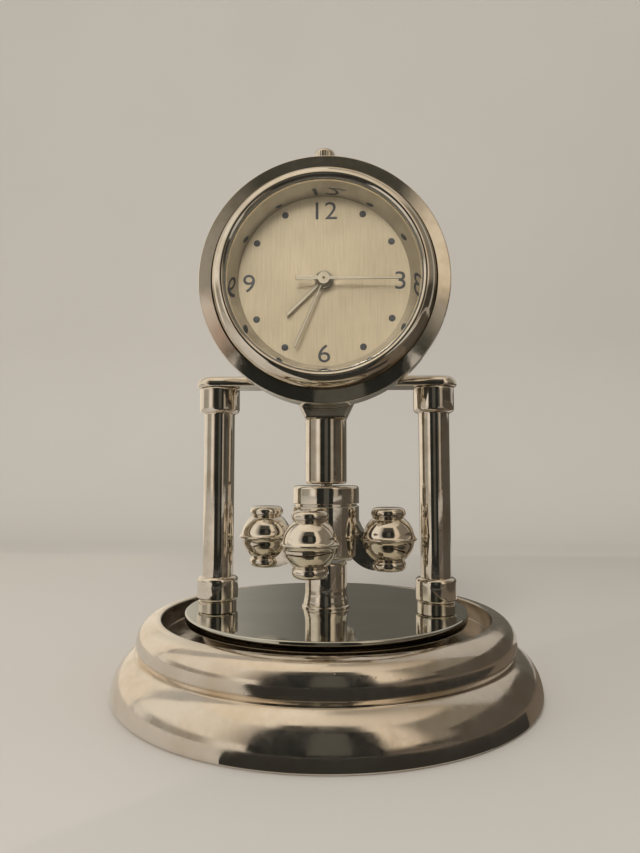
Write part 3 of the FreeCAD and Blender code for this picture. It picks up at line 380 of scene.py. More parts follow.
def column(side, place):
    """One column's tube and its two ferrules."""
    tube_bottom, tube_top = FOOT_FERRULE_TOP - TUBE_IN_FOOT, TOP_FERRULE_BOTTOM + TUBE_IN_TOP
    tube = turned_upright(f"tube_{side}", [
        (ROD_HOLE, tube_bottom), (COLUMN_RADIUS, tube_bottom), (COLUMN_RADIUS, tube_top),
        (ROD_HOLE, tube_top),
    ], post_plate, sides=96, at=place)
    stands_for(tube, "clock", "plated_posts", f"column_tube_{side}")

    foot_of_lip = TOP_FERRULE_BOTTOM - FERRULE_STEP
    top = turned_upright(f"top_ferrule_{side}", [
        (ROD_HOLE, tube_top), (COLUMN_RADIUS, tube_top), (COLUMN_RADIUS, foot_of_lip),
        (COLUMN_RADIUS + 0.06, foot_of_lip), (COLUMN_RADIUS + 0.1, TOP_FERRULE_BOTTOM, 0.6),
        (FERRULE_RADIUS, TOP_FERRULE_BOTTOM + FERRULE_LIP),
        (FERRULE_RADIUS, BAR_BOTTOM - FERRULE_EDGE, FERRULE_EDGE),
        (FERRULE_RADIUS - FERRULE_EDGE, BAR_BOTTOM), (ROD_HOLE, BAR_BOTTOM),
    ], post_plate, sides=96, at=place, step=10.0, crease=45.0)
    stands_for(top, "clock", "plated_posts", f"column_top_ferrule_{side}")

    foot = turned_upright(f"foot_ferrule_{side}", [
        (ROD_HOLE, DISC_TOP), (FOOT_RING_RADIUS, DISC_TOP),
        (FOOT_RING_RADIUS, FOOT_FERRULE_BOTTOM - FERRULE_STEP),
        (FOOT_RING_RADIUS - 0.16, FOOT_FERRULE_BOTTOM),
        (FERRULE_RADIUS - FOOT_EDGE, FOOT_FERRULE_BOTTOM, FOOT_EDGE),
        (FERRULE_RADIUS, FOOT_FERRULE_BOTTOM + FOOT_EDGE),
        (FERRULE_RADIUS, FOOT_FERRULE_TOP - FOOT_SHOULDER, FOOT_SHOULDER),
        (FERRULE_RADIUS - FOOT_SHOULDER, FOOT_FERRULE_TOP), (COLUMN_RADIUS, FOOT_FERRULE_TOP),
        (COLUMN_RADIUS, tube_bottom), (ROD_HOLE, tube_bottom),
    ], post_plate, sides=96, at=place, step=10.0, crease=45.0)
    stands_for(foot, "clock", "plated_posts", f"column_foot_ferrule_{side}")


column("left", (-COLUMN_PLACE, 0.0))
column("right", (COLUMN_PLACE, 0.0))

# ---------------------------------------------------------------- tie rods and screws
# Zinc-plated steel: the rods, nuts and washers that clamp the columns, the screws of the post, the
# neck and the case, and the spindle, stem, lever and clamp. Each solid is its true shape.

zinc = Finish("zinc_plate", Metallic=1.0)
zinc.link("Base Color", zinc.ramp(zinc.noise(900.0, 5.0, 0.6), (0.35, (0.46, 0.47, 0.49)),
                                  (0.62, (0.64, 0.64, 0.62))))
zinc.link("Roughness", zinc.spread(zinc.noise(2600.0, 6.0, 0.7), 0.35, 0.7, 0.20, 0.42))
zinc.bump(zinc.noise(4200.0, 3.0), 0.35, 0.01)
coat_nodes(zinc, "tie_rods", "tie_rod_washers", "tie_rod_nuts", "neck_screw", "case_screws",
           "lower_post_screw", "pendulum_spindle", "winding_stem", "setting_lever", "cell_clamp")

# ---------------------------------------------------------------- crossbar
# A flat cast bar with round ends and soft edges. It joins the tops of the columns behind the
# head and takes the neck block's screw in its middle.

BAR_THICKNESS = 1.5
BAR_HALF_LENGTH = 17.25
BAR_HALF_WIDTH = 2.5
BAR_CORNER = 2.2
BAR_TOP_ROUND = 1.2
BAR_FOOT_ROUND = 0.3


def lying(u, v, w):
    """An outline drawn in plan, with its thickness upwards."""
    return (u * MM, v * MM, w * MM)


def bar_outline(inset):
    """The bar seen from above, drawn in by an inset."""
    end, front, corner = BAR_HALF_LENGTH - inset, BAR_HALF_WIDTH - inset, BAR_CORNER - inset
    return outline_points([
        (-end + corner, -front), (end - corner, -front, corner), (end, -front + corner),
        (end, front - corner, corner), (end - corner, front), (-end + corner, front, corner),
        (-end, front - corner), (-end, -front + corner, corner)])


def join_rings(bm, rings):
    """The faces between closed rings of vertices, each above the one before it."""
    for low, high in zip(rings, rings[1:]):
        for i in range(len(low)):
            j = (i + 1) % len(low)
            bm.faces.new((low[i], low[j], high[j], high[i]))


def add_bar(bm):
    """The bar as closed rings from its underside up, over a small round and then a large one."""
    top, steps = BAR_BOTTOM + BAR_THICKNESS, 12
    levels = []
    for i in range(steps + 1):
        bend = math.pi / 2 * i / steps
        levels.append((BAR_FOOT_ROUND * (1 - math.sin(bend)),
                       BAR_BOTTOM + BAR_FOOT_ROUND * (1 - math.cos(bend))))
    for i in range(steps + 1):
        bend = math.pi / 2 * i / steps
        levels.append((BAR_TOP_ROUND * (1 - math.cos(bend)), top - BAR_TOP_ROUND * (1 - math.sin(bend))))
    rings = [[bm.verts.new(lying(u, v, height)) for u, v in bar_outline(inset)]
             for inset, height in levels]
    bm.faces.new(rings[0])
    bm.faces.new(rings[-1])
    join_rings(bm, rings)


bm = bmesh.new()
add_bar(bm)
bar = add_piece("cast_crossbar", bm, post_plate, crease=40.0)
stands_for(bar, "clock", "plated_posts", "crossbar")

# ---------------------------------------------------------------- neck block
# A cast wedge under the crossbar. Its front carries the case, the upper post screws into its
# foot, and a bevel runs round its front face.

NECK_BOTTOM = 33.9
NECK_LOW_HALF = 2.65
NECK_HIGH_HALF = 4.73
NECK_FRONT = -2.6
NECK_BEVEL = 0.34


def standing(u, v, w):
    """An outline drawn as seen from the front, with its thickness backwards."""
    return (u * MM, w * MM, v * MM)


def add_plate(bm, corners, low, high, place, rounding, segments=4, step=6.0):
    """A plate cut to an outline, its rims rounded. place(u, v, w) gives each vertex."""
    points = outline_points(corners, step)
    lower = [bm.verts.new(place(u, v, low)) for u, v in points]
    upper = [bm.verts.new(place(u, v, high)) for u, v in points]
    caps = [bm.faces.new(lower[::-1]), bm.faces.new(upper)]
    for number in range(len(points)):
        following = (number + 1) % len(points)
        bm.faces.new((lower[number], lower[following], upper[following], upper[number]))
    rims = [edge for cap in caps for edge in cap.edges]
    bmesh.ops.bevel(bm, geom=rims, offset=rounding * MM, segments=segments, profile=0.5,
                    affect="EDGES", clamp_overlap=True)


bm = bmesh.new()
add_plate(bm, [
    (-NECK_LOW_HALF, NECK_BOTTOM), (NECK_LOW_HALF, NECK_BOTTOM), (NECK_HIGH_HALF, BAR_BOTTOM),
    (-NECK_HIGH_HALF, BAR_BOTTOM),
], NECK_FRONT, BAR_HALF_WIDTH, standing, NECK_BEVEL, segments=2)
neck = add_piece("cast_neck", bm, post_plate, crease=20.0)
stands_for(neck, "clock", "plated_posts", "neck_block")

# ---------------------------------------------------------------- centre posts
# The lower post stands on the disc with a small turned foot, and the upper post hangs from the
# neck. A steel spindle is pressed into both, with a nylon washer for the pendulum to turn on.

POST_RADIUS = 2.73
POST_FOOT_RADIUS = 2.97
LOWER_POST_TOP = 15.35
UPPER_POST_BOTTOM = 25.4
LOWER_POST_EDGE = 0.35
UPPER_POST_EDGE = 0.4
SPINDLE_RADIUS = 0.8

lower_post = turned_upright("lower_post_turning", [
    (SPINDLE_RADIUS, DISC_TOP), (POST_FOOT_RADIUS + 0.17, DISC_TOP),
    (POST_FOOT_RADIUS + 0.17, DISC_TOP + 0.18, 0.1), (POST_FOOT_RADIUS + 0.07, DISC_TOP + 0.28),
    (POST_FOOT_RADIUS - 0.02, DISC_TOP + 0.34), (POST_FOOT_RADIUS, DISC_TOP + 0.5, -8.0),
    (POST_RADIUS, DISC_TOP + 1.9), (POST_RADIUS, LOWER_POST_TOP - LOWER_POST_EDGE, LOWER_POST_EDGE),
    (POST_RADIUS - LOWER_POST_EDGE, LOWER_POST_TOP), (SPINDLE_RADIUS, LOWER_POST_TOP),
], post_plate, sides=128, step=12.0, crease=38.0)
stands_for(lower_post, "clock", "plated_posts", "lower_post")

upper_post = turned_upright("upper_post_turning", [
    (SPINDLE_RADIUS, UPPER_POST_BOTTOM),
    (POST_RADIUS - UPPER_POST_EDGE, UPPER_POST_BOTTOM, UPPER_POST_EDGE),
    (POST_RADIUS, UPPER_POST_BOTTOM + UPPER_POST_EDGE), (POST_RADIUS, NECK_BOTTOM - 0.12, 0.12),
    (POST_RADIUS - 0.12, NECK_BOTTOM), (SPINDLE_RADIUS, NECK_BOTTOM),
], post_plate, sides=128, step=12.0, crease=38.0)
stands_for(upper_post, "clock", "plated_posts", "upper_post")

nylon = Finish("natural_nylon", Roughness=0.5, Subsurface_Weight=0.1)
nylon.link("Base Color", nylon.ramp(nylon.noise(1600.0), (0.35, (0.74, 0.72, 0.66)),
                                    (0.65, (0.84, 0.82, 0.77))))
nylon.bump(nylon.noise(3600.0, 3.0), 0.2, 0.01)
coat_nodes(nylon, "thrust_washer")

# ---------------------------------------------------------------- pendulum hub
# A turned drum with a cap above it and a thin groove between the two, plated as the posts are.
# They turn together on the spindle.

HUB_RADIUS = 4.35
DRUM_BOTTOM = 16.0
DRUM_TOP = 22.55
CAP_TOP = 25.2
GROOVE = 0.3
DRUM_EDGE = 0.35
DRUM_LIP = 0.12
CAP_EDGE = 0.45
CAP_LIP = 0.1

drum = turned_upright("hub_drum", [
    (ROD_HOLE, DRUM_BOTTOM), (HUB_RADIUS - DRUM_EDGE, DRUM_BOTTOM, DRUM_EDGE),
    (HUB_RADIUS, DRUM_BOTTOM + DRUM_EDGE), (HUB_RADIUS, DRUM_TOP - DRUM_LIP, DRUM_LIP),
    (HUB_RADIUS - DRUM_LIP, DRUM_TOP), (HUB_RADIUS - GROOVE, DRUM_TOP),
    (HUB_RADIUS - GROOVE, DRUM_TOP + GROOVE), (ROD_HOLE, DRUM_TOP + GROOVE),
], post_plate, sides=160, step=12.0, crease=38.0)
stands_for(drum, "pendulum", "plated_posts", "pendulum_drum")

cap = turned_upright("hub_cap", [
    (ROD_HOLE, DRUM_TOP + GROOVE), (HUB_RADIUS - CAP_LIP, DRUM_TOP + GROOVE, CAP_LIP),
    (HUB_RADIUS, DRUM_TOP + GROOVE + CAP_LIP), (HUB_RADIUS, CAP_TOP - CAP_EDGE, CAP_EDGE),
    (HUB_RADIUS - CAP_EDGE, CAP_TOP), (ROD_HOLE, CAP_TOP),
], post_plate, sides=160, step=10.0, crease=38.0)
stands_for(cap, "pendulum", "plated_posts", "pendulum_cap")

# ---------------------------------------------------------------- pendulum balls
# Four cast balls, each with the ridge of its two-part mould round the middle, a round-edged
# button above and below, and a curved web that reaches in to the drum.

BALL_ORBIT = 8.25
BALL_HEIGHT = 18.4
BALL_RADIUS = 3.32
RIDGE_RADIUS = 3.62
RIDGE_HALF = 0.5
BUTTON_RADIUS = 1.45
BUTTON_ROUND = 0.75
BUTTON_SEAT_RADIUS = 1.95
BUTTON_SEAT_HEIGHT = 2.7
BALL_HALF_HEIGHT = 4.03
ARM_THICKNESS = 2.4
ARM_TOP = 20.45
ARM_BELLY = 4.3
PENDULUM_TURN = -11.3


def add_ball(bm):
    """The ball's turned section: button, sphere, ridge, sphere and button."""
    low, high = BALL_HEIGHT - BALL_HALF_HEIGHT, BALL_HEIGHT + BALL_HALF_HEIGHT
    seat_low, seat_high = BALL_HEIGHT - BUTTON_SEAT_HEIGHT, BALL_HEIGHT + BUTTON_SEAT_HEIGHT
    shoulder = BALL_RADIUS - 0.02
    corners = [
        (0.0, low), (BUTTON_RADIUS, low, BUTTON_ROUND), (BUTTON_SEAT_RADIUS, seat_low, BALL_RADIUS),
        (shoulder, BALL_HEIGHT - RIDGE_HALF), (RIDGE_RADIUS - 0.06, BALL_HEIGHT - 0.13, 0.15),
        (RIDGE_RADIUS - 0.06, BALL_HEIGHT + 0.13), (shoulder, BALL_HEIGHT + RIDGE_HALF, BALL_RADIUS),
        (BUTTON_SEAT_RADIUS, seat_high, BUTTON_ROUND), (BUTTON_RADIUS, high), (0.0, high),
    ]
    turn_rings(bm, outline_points(corners, 5.0), 112, upright_at())


def add_arm(bm):
    """The web that is cast with the ball, drawn towards the drum at -X."""
    low = BALL_HEIGHT - BALL_HALF_HEIGHT
    root = -BALL_ORBIT + HUB_RADIUS
    add_plate(bm, [
        (root - 0.85, DRUM_BOTTOM + 0.2, ARM_BELLY), (-BUTTON_RADIUS - 0.3, low + 0.12),
        (-0.6, low + 0.12), (-0.6, BALL_HEIGHT + 0.5), (-BALL_RADIUS + 0.25, BALL_HEIGHT + 0.75, -2.2),
        (root + 0.02, ARM_TOP), (root - 0.85, ARM_TOP),
    ], -ARM_THICKNESS / 2, ARM_THICKNESS / 2, standing, 0.5, segments=5)


for number, side in enumerate(("right", "back", "left", "front")):
    turn = math.radians(PENDULUM_TURN + 90 * number)
    bm = bmesh.new()
    add_ball(bm)
    add_arm(bm)
    orbit = Vector((math.cos(turn), math.sin(turn), 0.0)) * BALL_ORBIT * MM
    bm.transform(Matrix.Translation(orbit) @ Matrix.Rotation(turn, 4, "Z"))
    ball = add_piece(f"cast_ball_{side}", bm, post_plate, crease=34.0)
    stands_for(ball, "pendulum", "plated_posts", f"pendulum_ball_{side}")

# ---------------------------------------------------------------- case
# The round case of the head is turned and plated. It is open in front for the movement, and a
# thin brushed cover is pressed into the opening behind.

HEAD_HEIGHT = 50.8
CASE_RADIUS = 15.6
CASE_BACK = -2.6
CASE_JOINT = -6.9
CASE_WALL = 0.9
CASE_POCKET = 12.9
CASE_OPENING = 10.9
CASE_EDGE = 0.7
SPIGOT_SEAT = 13.4
SPIGOT_DEPTH = 0.7
JOINT_BEVEL = 0.1
HEAD_NICKEL = (0.800, 0.750, 0.670)
HEAD_NICKEL_WORN = (0.660, 0.585, 0.480)

head_plate = plating("head_nickel", HEAD_NICKEL, HEAD_NICKEL_WORN, haze=0.07, wave=0.24, patch=240.0,
                     pits=0.12)


def facing_at(x=0.0, z=0.0):
    """How a piece turned about an axis that points forwards at (x, z) in mm places its vertices."""
    def place(radius, along, angle):
        return ((x + radius * math.sin(angle)) * MM, along * MM, (z + radius * math.cos(angle)) * MM)
    return place


def turned_in_head(name, corners, material, sides=200, step=5.0, crease=32.0):
    """A piece turned about the dial's axis, from (depth, radius) corners in mm."""
    bm = bmesh.new()
    section = [(radius, depth) for depth, radius in outline_points(corners, step)]
    turn_rings(bm, section, sides, facing_at(0.0, HEAD_HEIGHT))
    return add_piece(name, bm, material, crease)


case = turned_in_head("turned_case", [
    (CASE_BACK - CASE_WALL, CASE_OPENING), (CASE_BACK, CASE_OPENING),
    (CASE_BACK, CASE_RADIUS - CASE_EDGE, CASE_EDGE), (CASE_BACK - CASE_EDGE, CASE_RADIUS),
    (CASE_JOINT + JOINT_BEVEL, CASE_RADIUS), (CASE_JOINT, CASE_RADIUS - JOINT_BEVEL),
    (CASE_JOINT, SPIGOT_SEAT), (CASE_JOINT + SPIGOT_DEPTH, SPIGOT_SEAT),
    (CASE_JOINT + SPIGOT_DEPTH, CASE_POCKET), (CASE_BACK - CASE_WALL, CASE_POCKET),
], head_plate, sides=224, step=9.0, crease=36.0)
stands_for(case, "clock", "plated_head", "case_body")

brushed = Finish("circular_brushed_steel", Metallic=1.0, Anisotropic=0.6)
lines = turning_lines(brushed, 4.0, 9000.0, across=(1.0, 0.0, 1.0), centre=(0.0, 0.0, HEAD_HEIGHT * MM))
brushed.follow(lines, (0.47, 0.46, 0.44), (0.63, 0.62, 0.59), 0.24, 0.42)
brushed.bump(lines, 0.35, 0.01)
cover = turned_in_head("pressed_cover", [
    (CASE_BACK - CASE_WALL + 0.1, 0.0), (CASE_BACK + 0.35, 0.0), (CASE_BACK + 0.35, CASE_OPENING - 2.75, 0.4),
    (CASE_BACK + 0.22, CASE_OPENING - 2.4), (CASE_BACK + 0.03, CASE_OPENING - 0.75, -0.4),
    (CASE_BACK - 0.02, CASE_OPENING - 0.45), (CASE_BACK - 0.02, CASE_OPENING - 0.12, 0.12),
    (CASE_BACK - 0.14, CASE_OPENING), (CASE_BACK - CASE_WALL + 0.1, CASE_OPENING),
], brushed.material, sides=200, step=9.0, crease=24.0)
stands_for(cover, "clock", "case_steel", "case_back")

# ---------------------------------------------------------------- movement
# A small quartz movement: a moulded ring and plate, a button cell under its clamp, the coil, the
# circuit and the arbors, with the seal round the crystal. Each solid is its true shape.

resin = Finish("moulded_resin", Roughness=0.5)
grain = resin.noise(2400.0, 5.0, 0.6)
resin.link("Base Color", resin.ramp(grain, (0.35, (0.026, 0.027, 0.030)), (0.7, (0.062, 0.062, 0.066))))
resin.bump(grain, 0.3, 0.02)
coat_nodes(resin, "movement_holder", "movement_plate")

cell_can = Finish("cell_can", Metallic=1.0)
cell_lines = cell_can.noise(90.0, 5.0, 0.6, place=cell_can.stretched(1.0, 8.0, 60.0))
cell_can.follow(cell_lines, (0.56, 0.56, 0.55), (0.72, 0.72, 0.70), 0.22, 0.36)
coat_nodes(cell_can, "power_cell")

copper = Finish("enamelled_copper", Metallic=1.0, Roughness=0.28, Coat_Weight=0.6)
turns = copper.node("ShaderNodeTexWave", {"Vector": copper.place, "Scale": 4200.0, "Distortion": 0.4},
                    bands_direction="Z").outputs["Fac"]
copper.link("Base Color", copper.ramp(turns, (0.2, (0.30, 0.12, 0.05)), (0.8, (0.72, 0.34, 0.17))))
copper.bump(turns, 0.8, 0.03)
coat_nodes(copper, "drive_coil")

board = Finish("solder_resist", Roughness=0.35, Coat_Weight=0.4)
tracks = board.noise(520.0, 1.0, 0.2, place=board.stretched(1.0, 1.0, 3.0))
board.link("Base Color", board.ramp(tracks, (0.48, (0.010, 0.060, 0.028)), (0.52, (0.030, 0.125, 0.060))))
board.bump(tracks, 0.4, 0.02)
coat_nodes(board, "circuit_board")

brass = Finish("turned_brass", Metallic=1.0)
brass_lines = brass.noise(160.0, 5.0, 0.6, place=brass.stretched(1.0, 40.0, 1.0))
brass.follow(brass_lines, (0.52, 0.37, 0.13), (0.74, 0.57, 0.26), 0.18, 0.34)
coat_nodes(brass, "hour_wheel", "cannon_pinion", "seconds_arbor")

rubber = Finish("seal_plastic", Roughness=0.5)
rubber.link("Base Color", rubber.ramp(rubber.noise(2600.0, 5.0), (0.35, (0.115, 0.110, 0.090)),
                                      (0.7, (0.165, 0.155, 0.125))))
rubber.bump(rubber.noise(5200.0, 3.0), 0.3, 0.01)
coat_nodes(rubber, "crystal_gasket")

# ---------------------------------------------------------------- dial
# A thin champagne plate, brushed from top to bottom. Four numerals and eight dots are printed on
# it in slate ink.

DIAL_FACE = -6.57
DIAL_THICKNESS = 0.4
DIAL_RADIUS = 12.5
DIAL_HOLE = 0.85
INK_THICKNESS = 0.02
DOT_ORBIT = 9.73
DOT_RADIUS = 0.43
NUMERAL_HEIGHT = 1.92
NUMERAL_WIDENING = 1.1
NUMERALS = {"12": (0.0, 8.8), "3": (9.5, -0.22), "6": (0.0, -9.35), "9": (-9.4, -0.42)}
DIGIT_SHARE = 0.60

champagne = Finish("champagne_dial", Metallic=0.15)
strokes = champagne.noise(1.0, 5.0, 0.62, place=champagne.stretched(5200.0, 900.0, 260.0))
weft = champagne.noise(1.0, 3.0, 0.5, place=champagne.stretched(700.0, 900.0, 3600.0))
clouds = champagne.noise(130.0, 4.0, 0.55)
lit = champagne.ramp(strokes, (0.30, (0.475, 0.392, 0.272)), (0.70, (0.575, 0.480, 0.342)))
aged = champagne.ramp(clouds, (0.32, (0.86, 0.85, 0.83)), (0.62, (1.0, 1.0, 1.0)))
champagne.link("Base Color", champagne.times(lit, aged))
champagne.link("Roughness", champagne.spread(strokes, 0.3, 0.7, 0.36, 0.52))
champagne.bump(strokes, 0.30, 0.012)
champagne.bump(weft, 0.14, 0.010)
dial = turned_in_head("champagne_plate", [
    (DIAL_FACE, DIAL_HOLE), (DIAL_FACE + DIAL_THICKNESS, DIAL_HOLE),
    (DIAL_FACE + DIAL_THICKNESS, DIAL_RADIUS), (DIAL_FACE, DIAL_RADIUS),
], champagne.material, sides=160)
stands_for(dial, "clock", "dial_face", "dial")

ink = Finish("slate_ink", Roughness=0.5)
speckle = ink.noise(6000.0, 4.0, 0.6)
ink.link("Base Color", ink.ramp(speckle, (0.32, (0.035, 0.036, 0.040)), (0.70, (0.075, 0.075, 0.080))))
ink.bump(speckle, 0.3, 0.006)

bm = bmesh.new()
for hour in (1, 2, 4, 5, 7, 8, 10, 11):
    turn = math.radians(30 * hour)
    on_dot = facing_at(DOT_ORBIT * math.sin(turn), HEAD_HEIGHT + DOT_ORBIT * math.cos(turn))
    turn_rings(bm, [(0.0, DIAL_FACE), (0.0, DIAL_FACE - INK_THICKNESS),
                    (DOT_RADIUS * 0.9, DIAL_FACE - INK_THICKNESS), (DOT_RADIUS, DIAL_FACE)], 32, on_dot)
dots = add_piece("hour_dots", bm, ink.material)
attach(dots, "clock")


def printed_numeral(text, x, z):
    """A numeral as a thin printed solid on the dial, centred at (x, z) from the dial's axis."""
    letters = bpy.data.curves.new(f"numeral_{text}", "FONT")
    letters.body = text
    letters.align_x, letters.align_y = "CENTER", "CENTER"
    letters.size = NUMERAL_HEIGHT / DIGIT_SHARE * MM
    letters.extrude = INK_THICKNESS / 2 * MM
    holder = bpy.data.objects.new("numeral_outline", letters)
    scene_root = bpy.context.scene.collection.objects
    scene_root.link(holder)
    solid = bpy.data.meshes.new_from_object(holder.evaluated_get(bpy.context.evaluated_depsgraph_get()))
    bpy.data.objects.remove(holder)
    bm = bmesh.new()
    bm.from_mesh(solid)
    upright = Matrix.Rotation(math.radians(90), 4, "X") @ Matrix.Scale(NUMERAL_WIDENING, 4, (1, 0, 0))
    spot = Vector((x, DIAL_FACE - INK_THICKNESS / 2, HEAD_HEIGHT + z)) * MM
    bm.transform(Matrix.Translation(spot) @ upright)
    numeral = add_piece(f"numeral_{text}", bm, ink.material)
    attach(numeral, "clock")


for text, (x, z) in NUMERALS.items():
    printed_numeral(text, x, z)

# ---------------------------------------------------------------- rehaut ring
# A turned and polished ring that slopes from the crystal's seat in to the dial and mirrors its edge. The
# bezel holds it against the dial. Its nickel is darkened, as painted shade under the bezel.

REHAUT_FRONT = -8.95
REHAUT_FRONT_RADIUS = 11.72
REHAUT_RADIUS = 12.6
DIAL_WINDOW = 10.75

# The plate colours are darkened nickel: painted shade under the bezel.
rehaut_shade_plate = plating("rehaut_nickel_painted_shade", (0.500, 0.488, 0.470), (0.410, 0.398, 0.380), haze=0.05,
                       wave=0.22, patch=300.0)
rehaut = turned_in_head("polished_rehaut", [
    (REHAUT_FRONT, REHAUT_FRONT_RADIUS), (DIAL_FACE, DIAL_WINDOW), (DIAL_FACE, REHAUT_RADIUS),
    (REHAUT_FRONT, REHAUT_RADIUS),
], rehaut_shade_plate, sides=240)
stands_for(rehaut, "clock", "plated_head", "rehaut_ring")

# ---------------------------------------------------------------- hands
# Stamped steel hands: two batons with slanted tips and a needle with a broad tail. Their faces are satin
# silver, and their edges carry a dark metal that is painted shade.

HAND_THICKNESS = 0.12
HAND_BEVEL = 0.045
BOSS_RISE = 0.012
HOUR_LENGTH = 6.55
MINUTE_LENGTH = 9.4
SECOND_LENGTH = 9.6
SECOND_TAIL = 3.48

silver = Finish("satin_silver", Metallic=0.35)
satin = silver.noise(1.0, 4.0, 0.6, place=silver.stretched(9000.0, 9000.0, 9000.0))
silver.follow(satin, (0.50, 0.44, 0.34), (0.62, 0.55, 0.43), 0.26, 0.44)
# A near-black metal for the hands' edges: painted shade, not the steel's own colour.
edge_painted_shade = Finish("edge_shade_paint", Metallic=1.0)
dark_grain = edge_painted_shade.noise(7000.0, 3.0)
edge_painted_shade.link("Base Color", edge_painted_shade.ramp(dark_grain, (0.35, (0.10, 0.10, 0.095)),
                                            (0.65, (0.19, 0.18, 0.17))))
edge_painted_shade.link("Roughness", edge_painted_shade.spread(dark_grain, 0.3, 0.7, 0.3, 0.5))


def hand(name, node, body, outline, boss_radius, plane, degrees):
    """A hand with a round boss, drawn pointing to twelve, then turned clockwise about the dial's
    axis. plane is the depth of its face."""
    bm = bmesh.new()
    back, edge = plane + HAND_THICKNESS, HAND_BEVEL * 1.4
    turn_rings(bm, [(0.0, back), (0.0, plane - BOSS_RISE), (boss_radius - edge, plane - BOSS_RISE),
                    (boss_radius, plane + edge), (boss_radius, back)], 64, facing_at())
    add_plate(bm, outline, plane, back, standing, HAND_BEVEL, segments=2)
    lift = Matrix.Translation((0.0, 0.0, HEAD_HEIGHT * MM))
    bm.transform(lift @ Matrix.Rotation(math.radians(degrees), 4, "Y"))
    piece = add_piece(name, bm, silver.material, crease=25.0)
    piece.data.materials.append(edge_painted_shade.material)
    # Faces that don't face forwards take the dark metal: painted shade along the edges.
    for polygon in piece.data.polygons:
        if abs(polygon.normal.y) < 0.92:
            polygon.material_index = 1
    stands_for(piece, body, "hand_steel", node)


hand("hour_baton", "hour_hand", "hour_train", [
    (-0.18, 0.4), (0.18, 0.4), (0.22, HOUR_LENGTH - 0.3), (-0.22, HOUR_LENGTH),
], boss_radius=1.15, plane=-7.0, degrees=226.1)
hand("minute_baton", "minute_hand", "minute_train", [
    (-0.14, 0.3), (0.14, 0.3), (0.17, MINUTE_LENGTH - 0.25), (-0.17, MINUTE_LENGTH),
], boss_radius=0.95, plane=-7.35, degrees=203.0)
hand("second_needle", "second_hand", "seconds_train", [
    (-0.13, SECOND_LENGTH), (-0.16, -0.9), (-0.27, -1.2), (-0.28, -SECOND_TAIL + 0.08),
    (-0.2, -SECOND_TAIL), (0.2, -SECOND_TAIL), (0.28, -SECOND_TAIL + 0.08), (0.27, -1.2),
    (0.16, -0.9), (0.13, SECOND_LENGTH),
], boss_radius=0.82, plane=-7.75, degrees=90.7)

# ---------------------------------------------------------------- crystal
# A flat disc of mineral glass with a small ground bevel. It sits in the bezel, and its gasket
# seals it.

CRYSTAL_FRONT = -9.75
CRYSTAL_BACK = -9.2
CRYSTAL_RADIUS = 11.85
CRYSTAL_BEVEL = 0.06

glass = Finish("mineral_glass", Transmission_Weight=1.0, IOR=1.5, Base_Color=(0.97, 0.985, 0.975, 1.0))
grease = glass.noise(240.0, 7.0, 0.66, 0.7)
glass.link("Roughness", glass.spread(grease, 0.50, 0.80, 0.0, 0.06))
crystal = turned_in_head("flat_crystal", [
    (CRYSTAL_FRONT, 0.0), (CRYSTAL_BACK, 0.0), (CRYSTAL_BACK, CRYSTAL_RADIUS),
    (CRYSTAL_FRONT + CRYSTAL_BEVEL, CRYSTAL_RADIUS), (CRYSTAL_FRONT, CRYSTAL_RADIUS - CRYSTAL_BEVEL),
], glass.material, sides=200, crease=20.0)
crystal.visible_shadow = False
stands_for(crystal, "clock", "crystal_glass", "crystal")

# ---------------------------------------------------------------- bezel
# The plated front ring: a flat band that leans slightly outwards, a fine groove, then a raised
# round ridge that holds the crystal. Its spigot is pressed into the case.

BEZEL_FACE = -7.9
RIDGE_FOOT = 13.86
RIDGE_FACE = -10.0
GLASS_EDGE = 12.05
BEZEL_EDGE = 0.15
BAND_LEAN = 0.30
SPIGOT_LENGTH = 0.68
FIT_GAP = 0.05

bezel = turned_in_head("turned_bezel", [
    (CASE_JOINT, SPIGOT_SEAT - FIT_GAP), (CASE_JOINT, CASE_RADIUS - JOINT_BEVEL),
    (CASE_JOINT - JOINT_BEVEL, CASE_RADIUS),
    (BEZEL_FACE + BEZEL_EDGE, CASE_RADIUS, BEZEL_EDGE), (BEZEL_FACE, CASE_RADIUS - BEZEL_EDGE),
    (BEZEL_FACE - BAND_LEAN, RIDGE_FOOT + 0.1), (BEZEL_FACE - 0.10, RIDGE_FOOT),
    (BEZEL_FACE - BAND_LEAN, RIDGE_FOOT - 0.06, 3.0),
    (RIDGE_FACE + 0.42, GLASS_EDGE + 1.13, 1.6), (RIDGE_FACE + 0.03, GLASS_EDGE + 0.47, 0.35),
    (RIDGE_FACE + 0.09, GLASS_EDGE + 0.15), (CRYSTAL_FRONT - 0.04, GLASS_EDGE),
    (CRYSTAL_BACK, GLASS_EDGE), (CRYSTAL_BACK, REHAUT_FRONT_RADIUS + 0.1),
    (REHAUT_FRONT, REHAUT_FRONT_RADIUS), (REHAUT_FRONT, REHAUT_RADIUS + FIT_GAP),
    (CASE_JOINT + SPIGOT_LENGTH, REHAUT_RADIUS + FIT_GAP),
    (CASE_JOINT + SPIGOT_LENGTH, SPIGOT_SEAT - FIT_GAP),
], head_plate, sides=256, step=6.0, crease=30.0)
stands_for(bezel, "clock", "plated_head", "bezel")

# ---------------------------------------------------------------- crown
# A crown at twelve with fine flutes and a domed top, turned, plated and pressed on the stem. It
# pulls out to set the hands.

CROWN_RADIUS = 1.4
CROWN_BOTTOM = 15.9
CROWN_TOP = 17.8
STEM_DEPTH = -4.6
FLUTES = 32
FLUTE_DEPTH = 0.025
CROWN_EDGE = 0.26
CROWN_DOME = 0.7


